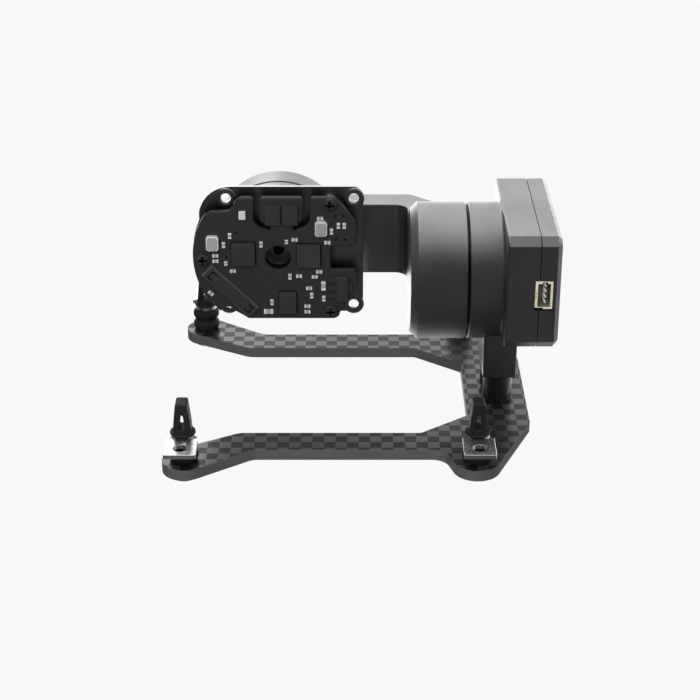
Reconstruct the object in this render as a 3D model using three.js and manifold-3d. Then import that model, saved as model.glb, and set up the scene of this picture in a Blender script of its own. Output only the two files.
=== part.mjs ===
// Two-axis brushless camera gimbal: a carbon plate on four rubber dampers carries the tilt motor and its
// electronics box; the tilt arm carries the roll motor, and the roll motor carries the camera plate.
// Millimetres. X runs along the tilt axis, the camera looks along -Y, and Z is up.
// Inside this file heights are counted from the top face of the carbon plate; the group at the end moves
// the origin to the middle of the footprint, under the damper buttons.

import * as THREE from 'three';
import { mergeVertices } from 'three/addons/utils/BufferGeometryUtils.js';
import Module from 'manifold-3d';

const wasm = await Module();
wasm.setup();

// ---- driving dimensions ----

const FIT = 0.05;              // clearance between pieces that touch
const ROUND = 32;              // sides of a large circle
const SMALL_ROUND = 12;        // sides of a small circle

const PLATE = {
  thickness: 2, left: -31.8, right: 32, armOuter: 22.9, armInner: 16.75, lobeY: 26.1, lobeRadius: 4.1,
  damperHole: 2.05, screwHole: 0.95,
};
const DAMPER_X = { left: -28, right: 21.7 };
const DAMPER = { bulge: 2.5, neck: 1.4, flange: 2.2, buttonBottom: -3, tabBottom: 4.35, tailTop: 11.2 };
const TAB = {
  width: 5.4, eye: 2.05, seat: 5, top: 5.1, shoulder: 1.8, landFrom: 2.25, outerY: 33.7, holeY: 31.3,
  holeRadius: 1.15,
};

const TILT_Z = 23.7;           // height of both motor axes
const MOTOR_RADIUS = 12.1;    // tilt motor
const ROLL_RADIUS = 11.9;
const SHAFT_RADIUS = 0.95;
const BEARING = { outer: 2.5, inner: 1, width: 2.3, seat: 2.55, shoulder: 2.1 };
const POST_RADIUS = 3.1;       // bearing tube that carries a stator
const TEETH = 12;
const BEARING_SIDES = 20;

const POST = { x: 26.8, y: 3.6, radius: 2.6, height: 5.9, bore: 0.95 };
const LEG = { left: 23.8, right: 29.7, halfY: 7.5, bottom: 5.95 };
const TILT = {                 // stations along X
  bellFace: 10.65, bellEdge: 20.35, bellWall: 1, housingFace: 20.75, housingFloor: 22.7, housingBack: 26.65,
  hollowRadius: 10.4, postTip: 13.4, coreFrom: 14.2, coreTo: 19.4, magnetFrom: 12.9, magnetTo: 20,
  shaftEnd: 27.3, sensorMagnetEnd: 29,
};
const BOX = {
  left: TILT.housingBack, seam: 32.2, right: 35.8, halfY: 15.1, bottom: 15.2, top: TILT_Z + MOTOR_RADIUS,
  wall: 1.2, topEdge: 1.36, bottomEdge: 1.55, capEdge: 0.75,
};
const CONNECTOR = { left: 31.5, right: 34.5, bottom: 22.95, top: 28.05, back: -10.4, notch: 0.75 };

const FRAME_CENTRE = { x: (PLATE.left + BOX.right) / 2, z: DAMPER.buttonBottom };

const ROLL_X = -12.8;
const ROLL = {                 // stations along Y, the camera side has the lower values
  bellFront: 9.25, bellEdge: 12.5, skirtEnd: 16.2, skirtRadius: 10.55, skirtWall: 0.65,
  cupFront: 13.1, cupFloor: 16.6, web: 17.6, boardFrom: 18.35, capFrom: 18.95, cupBack: 19.7,
  postTip: 11.2, coreFrom: 11.8, coreTo: 15.1, magnetFrom: 11.1, magnetTo: 15.8, magnetInner: 8.8,
  cupWall: 1.05,
};
const ARM = { front: 14.3, back: 19.7, halfZ: 6.8, fillet: 2.3, gussetFrom: 10.6, gussetTo: 20.2 };
const CAMERA_PLATE = {
  front: 8, face: 8.5, back: 9.2, radius: 15.5, top: 12.5, right: 15.4, bottom: -12, padRadius: 1.9,
  bossRadius: 1.2, leftCorner: 5.9, leftCornerX: -8.4,
};
const CAMERA_HOLES = { left: -9.3, right: 13.66, halfZ: 10.4, radius: 0.9 };
const PCB = {
  front: 5.6, back: 6.6, radius: 15.4, top: 11.5, bottom: -12.2, right: 14.05, hole: 2.3, holeZ: -0.2,
};
const PCB_SCREWS = [[9.4, 10.2], [-13.55, -0.4], [9.5, -10.6]];
const PLATE_SCREW_RADIUS = 7.6;

const COLOURS = {
  carbon: [0x3a3b3c, 0.45, 0.1], aluminium: [0x5c5d5e, 0.5, 0.85], darkAluminium: [0x2c2d2e, 0.55, 0.6],
  rubber: [0x161616, 0.75, 0], steel: [0xc6c7c8, 0.3, 1], blackSteel: [0x1d1d1e, 0.4, 0.8],
  board: [0x262728, 0.5, 0], chip: [0x1f2021, 0.55, 0], component: [0xb5b5b3, 0.4, 0.6],
  connector: [0xc9c0a4, 0.5, 0], copper: [0xb06a34, 0.35, 0.9], core: [0x77787a, 0.5, 0.8],
  magnet: [0x8d8f92, 0.35, 0.9], plastic: [0x202122, 0.5, 0],
};

// ---- materials ----

const materials = {};
for (const [name, [color, roughness, metalness]] of Object.entries(COLOURS)) {
  materials[name] = new THREE.MeshStandardMaterial({ color, roughness, metalness });
}

// ---- outlines ----

// Points of an arc from angle `from` to angle `to`, in radians, both ends included.
function arc(x, y, radius, from, to, sides = ROUND) {
  const steps = Math.max(1, Math.ceil((Math.abs(to - from) / (2 * Math.PI)) * sides));
  return Array.from({ length: steps + 1 }, (_, i) => {
    const angle = from + ((to - from) * i) / steps;
    return new THREE.Vector2(x + radius * Math.cos(angle), y + radius * Math.sin(angle));
  });
}

function circle(x, y, radius, sides = SMALL_ROUND) {
  return arc(x, y, radius, 0, 2 * Math.PI, sides).slice(0, -1);
}

function rectangle(x0, y0, x1, y1) {
  return [[x0, y0], [x1, y0], [x1, y1], [x0, y1]].map(([x, y]) => new THREE.Vector2(x, y));
}

function bevelled(x0, y0, x1, y1, low, high) {
  const corners = [
    [x0 + low, y0], [x1 - low, y0], [x1, y0 + low], [x1, y1 - high],
    [x1 - high, y1], [x0 + high, y1], [x0, y1 - high], [x0, y0 + low],
  ];
  return corners.map(([x, y]) => new THREE.Vector2(x, y));
}

// A counter-clockwise outline wrapped like a belt round circles [x, y, radius]: a positive radius is an
// outside round, a negative one an inside fillet, and 0 a sharp corner.
function belt(circles, sides = ROUND) {
  const count = circles.length;
  const tangent = circles.map(([x, y, radius], i) => {
    const [nextX, nextY, nextRadius] = circles[(i + 1) % count];
    const direction = Math.atan2(nextY - y, nextX - x);
    const distance = Math.hypot(nextX - x, nextY - y);
    return direction + Math.acos((nextRadius - radius) / distance);
  });
  return circles.flatMap(([x, y, radius], i) => {
    if (radius === 0) return [new THREE.Vector2(x, y)];
    const turn = radius > 0 ? Math.PI : 0;
    const from = tangent[(i + count - 1) % count] + turn;
    let to = tangent[i] + turn;
    if (radius > 0) while (to < from) to += 2 * Math.PI;
    if (radius < 0) while (to > from) to -= 2 * Math.PI;
    return arc(x, y, Math.abs(radius), from, to, sides);
  });
}

// ---- solids ----

const AXES = {                 // local x, y and z of an outline or a turned profile, in the object's axes
  X: new THREE.Matrix4().makeBasis(new THREE.Vector3(0, 1, 0), new THREE.Vector3(0, 0, 1),
    new THREE.Vector3(1, 0, 0)),
  Y: new THREE.Matrix4().makeBasis(new THREE.Vector3(0, 0, 1), new THREE.Vector3(1, 0, 0),
    new THREE.Vector3(0, 1, 0)),
  Z: new THREE.Matrix4(),
};

// A closed body from any geometry: shared corners merged, flat triangles dropped, faces pointing out.
function closedBody(geometry) {
  geometry.deleteAttribute('normal');
  geometry.deleteAttribute('uv');
  const merged = mergeVertices(geometry, 1e-4);
  const position = merged.attributes.position;
  const corner = (i) => new THREE.Vector3().fromBufferAttribute(position, i);
  const kept = [];
  let volume = 0;
  for (let i = 0; i < merged.index.count; i += 3) {
    const [a, b, c] = merged.index.array.slice(i, i + 3);
    if (a === b || b === c || c === a) continue;
    kept.push([a, b, c]);
    volume += corner(a).dot(corner(b).cross(corner(c)));
  }
  merged.setIndex(kept.flatMap(([a, b, c]) => (volume < 0 ? [a, c, b] : [a, b, c])));
  merged.computeVertexNormals();
  return merged;
}

// An outline extruded along an axis. Outlines for X are (y, z) pairs, for Y (x, z) pairs, for Z (x, y).
function extrude(outline, from, to, axis = 'Z', holes = []) {
  const flip = (points) => (axis === 'Y' ? points.map((p) => new THREE.Vector2(p.y, p.x)).reverse() : points);
  const shape = new THREE.Shape(flip(outline));
  shape.holes = holes.map((hole) => new THREE.Path(flip(hole)));
  const geometry = new THREE.ExtrudeGeometry(shape, { depth: to - from, bevelEnabled: false });
  return closedBody(geometry.translate(0, 0, from).applyMatrix4(AXES[axis]));
}

// A profile of [station, radius] pairs turned round an axis through `centre`.
function turned(profile, axis, centre, sides = ROUND) {
  const points = profile.map(([station, radius]) => new THREE.Vector2(radius, station));
  const closed = points.every((p) => p.x > 0) ? [...points, points[0]] : points;
  const geometry = new THREE.LatheGeometry(closed, sides).rotateX(Math.PI / 2);
  return closedBody(geometry.applyMatrix4(AXES[axis]).translate(...centre));
}

function toSolid(geometry) {
  return new wasm.Manifold(new wasm.Mesh({
    numProp: 3,
    vertProperties: geometry.attributes.position.array,
    triVerts: new Uint32Array(geometry.index.array),
  }));
}

function toGeometry(solid) {
  const mesh = solid.getMesh();
  const geometry = new THREE.BufferGeometry();
  geometry.setAttribute('position', new THREE.BufferAttribute(mesh.vertProperties, 3));
  geometry.setIndex(new THREE.BufferAttribute(mesh.triVerts, 1));
  geometry.computeVertexNormals();
  return geometry;
}

// The first solids joined, with every solid in `cuts` taken away.
function build(joined, cuts = []) {
  let solid = joined.map(toSolid).reduce((a, b) => a.add(b));
  for (const cut of cuts) solid = solid.subtract(toSolid(cut));
  return toGeometry(solid);
}

function intersection(a, b) {
  return toGeometry(toSolid(a).intersect(toSolid(b)));
}

const group = new THREE.Group();

function addPart(name, geometry, material) {
  const mesh = new THREE.Mesh(geometry, materials[material]);
  mesh.name = name;
  group.add(mesh);
  return mesh;
}

const tiltCentre = [0, 0, TILT_Z];
const rollCentre = [ROLL_X, 0, TILT_Z];

// Outlines on the roll motor are drawn round its axis and moved into place here.
function onRoll(outline) {
  return outline.map((p) => new THREE.Vector2(p.x + ROLL_X, p.y + TILT_Z));
}

// ---- shock mount: carbon plate, dampers and steel tabs ----

function basePlate() {
  const { armOuter, armInner, lobeY, lobeRadius, right } = PLATE;
  // From the window's front corner along the front arm, up the right side and back along the rear arm.
  const front = [
    [20.25, -9.9, -0.8], [12.2, -armInner + 1.2, -1.2], [-18.1, -armInner - 4, 4],
    [DAMPER_X.left + 0.1, -lobeY, lobeRadius - 0.2], [-15.6, -armOuter - 3, -3], [14.2, -armOuter - 3, -3],
    [DAMPER_X.right, -lobeY, lobeRadius], [right - 2, -12.4, 2],
  ];
  const rear = front.map(([x, y, radius]) => [x, -y, radius]).reverse();
  const outline = belt([...front, ...rear]);
  const holes = [];
  for (const side of [-1, 1]) {
    for (const x of Object.values(DAMPER_X)) holes.push(circle(x, side * lobeY, PLATE.damperHole));
    holes.push(circle(POST.x, side * POST.y, PLATE.screwHole, 12));
  }
  return extrude(outline, -PLATE.thickness, 0, 'Z', holes);
}

// A pull-through rubber damper standing at the origin: button, neck, two bulges, barb and pull tab.
function damper() {
  const { bulge, neck, flange, buttonBottom, tabBottom, tailTop } = DAMPER;
  const underPlate = -PLATE.thickness - FIT;
  const tabTop = TAB.seat + FIT;
  const body = turned([
    [buttonBottom, 0], [buttonBottom, 2.6], [underPlate, 2.5], [underPlate, 1.75], [FIT, 1.75],
    [FIT, 2.1], [1.15, bulge], [tabBottom / 2, 2.1], [3.25, bulge], [tabBottom - FIT, 2.1],
    [tabBottom - FIT, neck], [tabTop, neck], [tabTop, flange], [5.9, flange], [6.25, 1.9], [6.25, 0],
  ], 'Z', [0, 0, 0], SMALL_ROUND);
  const halfDepth = 1.55;
  const tailSide = [[-1.7, 6], [1.7, 6], [1.06, tailTop - 0.4], [0.7, tailTop], [-0.7, tailTop],
    [-1.06, tailTop - 0.4]];
  const slot = [[-0.45, 6.25], [0.45, 6.25], [0.22, 8.9], [0, 9.2], [-0.22, 8.9]];
  const toPoints = (pairs) => pairs.map(([x, z]) => new THREE.Vector2(x, z));
  const tail = extrude(toPoints(tailSide), -halfDepth, halfDepth, 'Y', [toPoints(slot)]);
  return build([body, tail]);
}

// A steel tab: a small eye round the damper's neck, where the barb sits in a shallow step, and a square
// outer end, which is a flat land with a plain M2 hole.
function mountingTab(side) {
  const { width, eye, shoulder, seat, top, landFrom, outerY, holeY, holeRadius } = TAB;
  const half = width / 2;
  const length = outerY - PLATE.lobeY;
  const screwHole = circle(0, PLATE.lobeY - holeY, holeRadius);
  const neckHole = circle(0, 0, DAMPER.neck + 0.15);
  const sweep = Math.asin(shoulder / eye);
  const outline = [
    ...arc(0, 0, eye, -sweep, Math.PI + sweep, 2 * SMALL_ROUND),
    new THREE.Vector2(-half, -shoulder), new THREE.Vector2(-half, -length),
    new THREE.Vector2(half, -length), new THREE.Vector2(half, -shoulder),
  ];
  const strap = extrude(outline, DAMPER.tabBottom, seat, 'Z', [neckHole, screwHole]);
  const landOutline = rectangle(-half, -length, half, -landFrom);
  const land = extrude(landOutline, DAMPER.tabBottom, top, 'Z', [screwHole]);
  const tab = build([strap, land]);
  return side < 0 ? tab : tab.rotateZ(Math.PI);
}

const sides = { front: -1, rear: 1 };

addPart('base_plate', basePlate(), 'carbon');
for (const [sideName, side] of Object.entries(sides)) {
  for (const [endName, x] of Object.entries(DAMPER_X)) {
    const place = [x, side * PLATE.lobeY, 0];
    addPart(`damper_${sideName}_${endName}`, damper(), 'rubber').position.set(...place);
    addPart(`mounting_tab_${sideName}_${endName}`, mountingTab(side), 'steel').position.set(...place);
  }
}

// ---- screws ----

// A pan-head screw along an axis: head outwards of `seat`, shank `length` the other way, and a driver
// recess as a shallow cone. `out` is the direction of the head.
function screw(axis, seat, out, centre, { head, height, shank, length, recess }) {
  return turned([
    [seat - out * length, 0], [seat - out * length, shank], [seat, shank], [seat, head],
    [seat + out * height * 0.6, head], [seat + out * height, head * 0.75], [seat + out * height, recess],
    [seat + out * height * 0.45, 0],
  ], axis, centre, 9);
}

// ---- tilt motor housing and electronics box ----

function housingBody() {
  const { seat, shoulder, width } = BEARING;
  const backSeatEnd = TILT.housingFace + 1.85;
  const seatWall = 3.5;
  const motorShell = turned([
    [TILT.postTip, seat], [TILT.postTip, POST_RADIUS], [TILT.housingFace, POST_RADIUS],
    [TILT.housingFace, MOTOR_RADIUS - 0.3], [TILT.housingFace + 0.3, MOTOR_RADIUS],
    [TILT.housingBack + 0.4, MOTOR_RADIUS], [TILT.housingBack + 0.4, TILT.hollowRadius],
    [TILT.housingFloor, TILT.hollowRadius], [TILT.housingFloor, seatWall],
    [backSeatEnd, seatWall], [backSeatEnd, seat], [backSeatEnd - width - 0.1, seat],
    [backSeatEnd - width - 0.1, shoulder], [TILT.postTip + width + 0.1, shoulder],
    [TILT.postTip + width + 0.1, seat],
  ], 'X', tiltCentre);
  const shoulderRing = turned([
    [TILT.housingBack - 1, 11], [TILT.housingBack - 1, MOTOR_RADIUS],
    [TILT.housingBack - 0.3, MOTOR_RADIUS + 0.3], [TILT.housingBack, MOTOR_RADIUS + 1],
    [TILT.housingBack + 0.4, MOTOR_RADIUS + 1], [TILT.housingBack + 0.4, 11],
  ], 'X', tiltCentre);
  const outline = boxFace();
  const blend = intersection(shoulderRing, extrude(outline, TILT.housingBack - 2, BOX.seam, 'X'));
  const shell = extrude(outline, BOX.left, BOX.seam - FIT, 'X');
  const leg = extrude(rectangle(-LEG.halfY, LEG.bottom, LEG.halfY, BOX.bottom + 1), LEG.left, LEG.right, 'X');
  const cavity = extrude(boxCavity(), BOX.left + BOX.wall, BOX.right, 'X');
  const motorCavity = turned([
    [TILT.housingFloor, 0], [TILT.housingFloor, TILT.hollowRadius],
    [BOX.left + BOX.wall + 1, TILT.hollowRadius], [BOX.left + BOX.wall + 1, 0],
  ], 'X', tiltCentre);
  const cuts = [cavity, connectorOpening()];
  for (const side of [-1, 1]) {
    cuts.push(extrude(circle(POST.x, side * POST.y, POST.bore, 12), 0, LEG.bottom + 5));
  }
  for (const [y, z] of boxScrewPlaces()) {
    cuts.push(extrude(circle(y, z, 0.78, 12), BOX.left + 1.5, BOX.right, 'X'));
  }
  const legAndShell = build([leg, shell, blend], [motorCavity]);
  return build([legAndShell, motorShell], cuts);
}

function boxFace() {
  return bevelled(-BOX.halfY, BOX.bottom, BOX.halfY, BOX.top, BOX.bottomEdge, BOX.topEdge);
}

// The hollow of the box keeps four solid corners for the cover screws.
function boxCavity() {
  const { halfY, bottom, top, wall } = BOX;
  const y = halfY - wall;
  const low = bottom + wall;
  const high = top - wall;
  const corner = 3.2;
  return [
    [-y + corner, low], [y - corner, low], [y - corner, low + corner], [y, low + corner],
    [y, high - corner], [y - corner, high - corner], [y - corner, high], [-y + corner, high],
    [-y + corner, high - corner], [-y, high - corner], [-y, low + corner], [-y + corner, low + corner],
  ].map(([a, b]) => new THREE.Vector2(a, b));
}

function boxScrewPlaces() {
  const inset = 2.8;
  const places = [];
  for (const y of [-BOX.halfY + inset, BOX.halfY - inset]) {
    for (const z of [BOX.bottom + inset, BOX.top - inset]) places.push([y, z]);
  }
  return places;
}

function connectorOpening() {
  const { left, right, bottom, top, back } = CONNECTOR;
  const gap = 0.12;
  const outline = rectangle(left - gap, bottom - gap - 0.15, right + gap, top + gap);
  return extrude(outline, -BOX.halfY - 1, back + 0.3, 'Y');
}

function coverBody() {
  const { capEdge, right, seam, wall } = BOX;
  const outline = boxFace();
  const straight = extrude(outline, seam + FIT, right - capEdge, 'X');
  const face = bevelledCap(outline, right - capEdge, right, capEdge);
  const cuts = [extrude(boxCavity(), seam - 1, right - wall, 'X'), connectorOpening()];
  for (const [y, z] of boxScrewPlaces()) {
    cuts.push(extrude(circle(y, z, 0.95, 12), seam - 1, right + 1, 'X'));
    cuts.push(extrude(circle(y, z, 1.45, 12), right - 0.9, right + 1, 'X'));
  }
  return build([straight, face], cuts);
}

// A slab whose outline shrinks by `inset` from `from` to `to` along X.
function bevelledCap(outline, from, to, inset) {
  const slab = extrude(outline, from, to, 'X');
  const centreZ = (BOX.bottom + BOX.top) / 2;
  const halfZ = (BOX.top - BOX.bottom) / 2;
  const position = slab.attributes.position;
  for (let i = 0; i < position.count; i += 1) {
    if (position.getX(i) < (from + to) / 2) continue;
    position.setY(i, position.getY(i) * (1 - inset / BOX.halfY));
    position.setZ(i, centreZ + (position.getZ(i) - centreZ) * (1 - inset / halfZ));
  }
  return slab;
}

function powerConnector() {
  const { left, right, bottom, top, back, notch } = CONNECTOR;
  const front = -BOX.halfY + 0.1;
  const wall = 0.5;
  const block = extrude(rectangle(left, bottom, right, top), front, back, 'Y');
  const mouthOutline = rectangle(left + wall, bottom + wall, right - wall, top - wall);
  const mouth = extrude(mouthOutline, front - 1, back - 1, 'Y');
  const cornerOutline = rectangle(left - 1, bottom - 1, left + 1.5, bottom + 0.35);
  const corner = extrude(cornerOutline, front - 1, front + notch, 'Y');
  const keyOutline = rectangle(left + 1.15, top - wall - 0.3, left + 2.15, top + 1);
  const key = extrude(keyOutline, front - 1, front + notch, 'Y');
  const pins = [0, 1, 2, 3].map((i) => {
    const z = bottom + 1.2 + i;
    return extrude(rectangle(left + 1.45, z - 0.15, left + 1.8, z + 0.15), front + 1, back - 0.5, 'Y');
  });
  return build([build([block], [mouth, corner, key]), ...pins]);
}

for (const [sideName, side] of Object.entries(sides)) {
  const ring = extrude(circle(POST.x, side * POST.y, POST.radius, 24), FIT, POST.height, 'Z',
    [circle(POST.x, side * POST.y, POST.bore, 12)]);
  addPart(`standoff_${sideName}`, ring, 'darkAluminium');
  addPart(`standoff_screw_${sideName}`, screw('Z', -PLATE.thickness - FIT, -1, [POST.x, side * POST.y, 0],
    { head: 1.7, height: 0.9, shank: 0.8, length: 12, recess: 0.7 }), 'blackSteel');
}
addPart('tilt_housing', housingBody(), 'aluminium');
addPart('electronics_cover', coverBody(), 'aluminium');
boxScrewPlaces().forEach(([y, z], i) => {
  addPart(`cover_screw_${i + 1}`, screw('X', BOX.right - 0.9 + FIT, 1, [0, y, z],
    { head: 1.3, height: 0.8, shank: 0.7, length: 6, recess: 0.5 }), 'blackSteel');
});
addPart('power_connector', powerConnector(), 'connector');

const BOARD = { from: 30.15, to: 31.15, halfY: 10.5, bottom: 20.1, top: 31.1 };
addPart('controller_board',
  extrude(rectangle(-BOARD.halfY, BOARD.bottom, BOARD.halfY, BOARD.top), BOARD.from, BOARD.to, 'X'), 'board');
addPart('controller_chip', extrude(rectangle(1, 21.5, 6, 26.5), BOARD.to + FIT, BOARD.to + 0.9, 'X'),
  'chip');
const sensorOutline = rectangle(-1.5, TILT_Z - 1.5, 1.5, TILT_Z + 1.5);
addPart('tilt_angle_sensor', extrude(sensorOutline, BOARD.from - 0.75, BOARD.from - FIT, 'X'), 'chip');

// ---- motors ----

// One lamination stack: a hub with teeth whose tips spread into shoes.
function statorCore(radius, from, to, axis, centre) {
  const hub = 4.3;
  const halfTooth = 0.62;
  const points = [];
  const pitch = (2 * Math.PI) / TEETH;
  const at = (r, angle) => points.push(new THREE.Vector2(r * Math.cos(angle), r * Math.sin(angle)));
  for (let tooth = 0; tooth < TEETH; tooth += 1) {
    const middle = tooth * pitch;
    const halfShoe = pitch * 0.4;
    at(hub, middle - halfTooth / hub);
    at(radius - 0.9, middle - halfTooth / radius);
    at(radius, middle - halfShoe);
    at(radius, middle + halfShoe);
    at(radius - 0.9, middle + halfTooth / radius);
    at(hub, middle + halfTooth / hub);
  }
  const moved = axis === 'X' ? points.map((p) => new THREE.Vector2(p.x, p.y + TILT_Z)) : onRoll(points);
  const bore = circle(centre[axis === 'X' ? 1 : 0], TILT_Z, POST_RADIUS + 0.12, BEARING_SIDES);
  return extrude(moved, from, to, axis, [bore]);
}

// All the coils of one motor: the end turns on both faces of the core, joined through the slots.
function windings(radius, from, to, axis, centre) {
  const inner = 4.7;
  const outer = radius - 1.3;
  const turns = 0.65;
  const endTurn = (station) => ring(station, station + turns, outer, inner, axis, centre, 24);
  const pitch = (2 * Math.PI) / TEETH;
  const slots = Array.from({ length: TEETH }, (_, i) => {
    const middle = (i + 0.5) * pitch;
    const corner = (r, spread) => (
      new THREE.Vector2(r * Math.cos(middle + spread), r * Math.sin(middle + spread)));
    const outline = [corner(inner + 0.3, -0.09), corner(outer - 0.1, -0.16), corner(outer - 0.1, 0.16),
      corner(inner + 0.3, 0.09)];
    const moved = axis === 'X' ? outline.map((p) => new THREE.Vector2(p.x, p.y + TILT_Z)) : onRoll(outline);
    return extrude(moved, from - 0.3, to + 0.3, axis);
  });
  return build([endTurn(from - turns - 0.1), endTurn(to + 0.1), ...slots]);
}

function bearing(from, axis, centre) {
  const { outer, inner, width } = BEARING;
  return ring(from, from + width, outer, inner, axis, centre, BEARING_SIDES);
}

function ring(from, to, outer, inner, axis, centre, sides = ROUND) {
  return turned([[from, inner], [from, outer], [to, outer], [to, inner]], axis, centre, sides);
}

function rod(from, to, radius, axis, centre) {
  return turned([[from, 0], [from, radius], [to, radius], [to, 0]], axis, centre, SMALL_ROUND);
}

const bellInner = MOTOR_RADIUS - TILT.bellWall;
addPart('tilt_stator_core', statorCore(9.4, TILT.coreFrom, TILT.coreTo, 'X', tiltCentre), 'core');
addPart('tilt_windings', windings(9.4, TILT.coreFrom, TILT.coreTo, 'X', tiltCentre), 'copper');
addPart('tilt_bearing_outer', bearing(TILT.postTip + FIT, 'X', tiltCentre), 'steel');
addPart('tilt_bearing_inner', bearing(TILT.housingFace + 1.85 - BEARING.width - FIT, 'X', tiltCentre),
  'steel');

// ---- tilt arm: motor bell, curved arm and roll motor cup in one machined piece ----

function tiltArm() {
  const { bellFace, bellEdge } = TILT;
  const shaftBore = BEARING.inner + 0.02;
  const bell = turned([
    [bellFace, 0], [bellFace, MOTOR_RADIUS - 1.25], [bellFace + 1.25, MOTOR_RADIUS],
    [bellEdge, MOTOR_RADIUS], [bellEdge, bellInner],
    [bellFace + 1.45, bellInner], [bellFace + 1.45, 2.2], [bellFace + 2.4, 2.2],
    [bellFace + 2.4, shaftBore], [bellFace + 0.5, shaftBore], [bellFace + 0.5, 0],
  ], 'X', tiltCentre);
  const discEdge = 1.5;
  const disc = turned([
    [ROLL.cupFront, 0], [ROLL.cupFront, ROLL_RADIUS - 0.2], [ROLL.cupFront + 0.2, ROLL_RADIUS],
    [ROLL.cupBack - discEdge, ROLL_RADIUS], [ROLL.cupBack, ROLL_RADIUS - discEdge], [ROLL.cupBack, 0],
  ], 'Y', rollCentre);
  const { front, back, halfZ, fillet, gussetFrom, gussetTo } = ARM;
  const armOutline = belt([
    [ROLL_X + 4, front, 0], [bellFace - fillet, front - fillet, -fillet],
    [bellFace, 8.5, 0], [gussetTo, 8.5, 0], [gussetTo, MOTOR_RADIUS - 0.2, 0],
    [gussetFrom, back - 2, 2], [ROLL_X + 4, back, 0],
  ]);
  const bar = extrude(armOutline, TILT_Z - halfZ, TILT_Z + halfZ);
  const bellHollow = turned([
    [bellFace + 1.45, 0], [bellFace + 1.45, bellInner], [bellEdge + 1, bellInner], [bellEdge + 1, 0],
  ], 'X', tiltCentre);
  const cupHollow = turned([
    [ROLL.cupFront - 1, 0], [ROLL.cupFront - 1, ROLL_RADIUS - ROLL.cupWall],
    [ROLL.cupFloor, ROLL_RADIUS - ROLL.cupWall], [ROLL.cupFloor, 0],
  ], 'Y', rollCentre);
  const rearPocket = turned([
    [ROLL.web, 0], [ROLL.web, 8], [ROLL.capFrom, 8], [ROLL.capFrom, 8.5], [ROLL.cupBack + 1, 8.5],
    [ROLL.cupBack + 1, 0],
  ], 'Y', rollCentre);
  const bearingBore = turned([
    [ROLL.postTip - 1, 0], [ROLL.postTip - 1, BEARING.seat], [ROLL.postTip + 2.4, BEARING.seat],
    [ROLL.postTip + 2.4, BEARING.shoulder], [ROLL.web - 2.4, BEARING.shoulder],
    [ROLL.web - 2.4, BEARING.seat], [ROLL.web + 0.5, BEARING.seat], [ROLL.web + 0.5, 0],
  ], 'Y', rollCentre, BEARING_SIDES);
  const rollPost = ring(ROLL.postTip, ROLL.cupFloor + 0.3, POST_RADIUS, 0.5, 'Y', rollCentre);
  const barOnly = build([bar], [bellHollow]);
  const shell = build([barOnly, disc], [cupHollow, rearPocket]);
  return build([build([shell, rollPost], [bearingBore]), bell]);
}

addPart('tilt_arm', tiltArm(), 'aluminium');
addPart('tilt_magnet_ring', ring(TILT.magnetFrom, TILT.magnetTo, bellInner - 0.1, 9.75, 'X', tiltCentre),
  'magnet');
addPart('tilt_shaft', rod(TILT.bellFace + 0.6, TILT.shaftEnd, SHAFT_RADIUS, 'X', tiltCentre), 'steel');
addPart('tilt_encoder_magnet', rod(TILT.shaftEnd + 0.1, TILT.sensorMagnetEnd, 1.6, 'X', tiltCentre),
  'magnet');

// ---- roll motor ----

addPart('roll_stator_core', statorCore(8.35, ROLL.coreFrom, ROLL.coreTo, 'Y', rollCentre), 'core');
addPart('roll_windings', windings(8.35, ROLL.coreFrom, ROLL.coreTo, 'Y', rollCentre), 'copper');
addPart('roll_bearing_front', bearing(ROLL.postTip + FIT, 'Y', rollCentre), 'steel');
addPart('roll_bearing_rear', bearing(ROLL.web - BEARING.width - FIT, 'Y', rollCentre), 'steel');
addPart('roll_encoder_board', rod(ROLL.boardFrom, ROLL.capFrom - FIT, 7.6, 'Y', rollCentre), 'board');
addPart('roll_rear_cap', ring(ROLL.capFrom + FIT, ROLL.cupBack - FIT, 8.35, 0.6, 'Y', rollCentre),
  'darkAluminium');

function rollBell() {
  const { bellFront, bellEdge, skirtEnd, skirtRadius, skirtWall } = ROLL;
  const web = bellFront + 1.2;
  const bell = turned([
    [bellFront, BEARING.inner + 0.02], [bellFront, ROLL_RADIUS - 0.3], [bellFront + 0.3, ROLL_RADIUS],
    [bellEdge, ROLL_RADIUS], [bellEdge, skirtRadius], [skirtEnd, skirtRadius],
    [skirtEnd, skirtRadius - skirtWall], [web, skirtRadius - skirtWall], [web, 2.2], [web + 0.55, 2.2],
    [web + 0.55, BEARING.inner + 0.02],
  ], 'Y', rollCentre);
  return build([bell], plateScrewPlaces().map(([x, z]) => (
    extrude(onRoll(circle(x, z, 0.75, 12)), bellFront - 1, web + 1, 'Y'))));
}

function plateScrewPlaces() {
  return [90, 210, 330].map((degrees) => {
    const angle = THREE.MathUtils.degToRad(degrees);
    return [PLATE_SCREW_RADIUS * Math.cos(angle), PLATE_SCREW_RADIUS * Math.sin(angle)];
  });
}

addPart('roll_rotor_bell', rollBell(), 'aluminium');
addPart('roll_magnet_ring', ring(ROLL.magnetFrom, ROLL.magnetTo, ROLL.skirtRadius - ROLL.skirtWall - 0.1,
  ROLL.magnetInner, 'Y', rollCentre), 'magnet');
addPart('roll_shaft', rod(ROLL.bellFront + 0.1, ROLL.web - FIT, SHAFT_RADIUS, 'Y', rollCentre), 'steel');
addPart('roll_encoder_magnet', rod(ROLL.web, ROLL.web + 0.6, 1.6, 'Y', rollCentre), 'magnet');

// ---- camera plate and its board ----

function cameraHolePlaces() {
  const places = [];
  for (const x of [CAMERA_HOLES.left, CAMERA_HOLES.right]) {
    for (const z of [-CAMERA_HOLES.halfZ, CAMERA_HOLES.halfZ]) places.push([x, z]);
  }
  return places;
}

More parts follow.
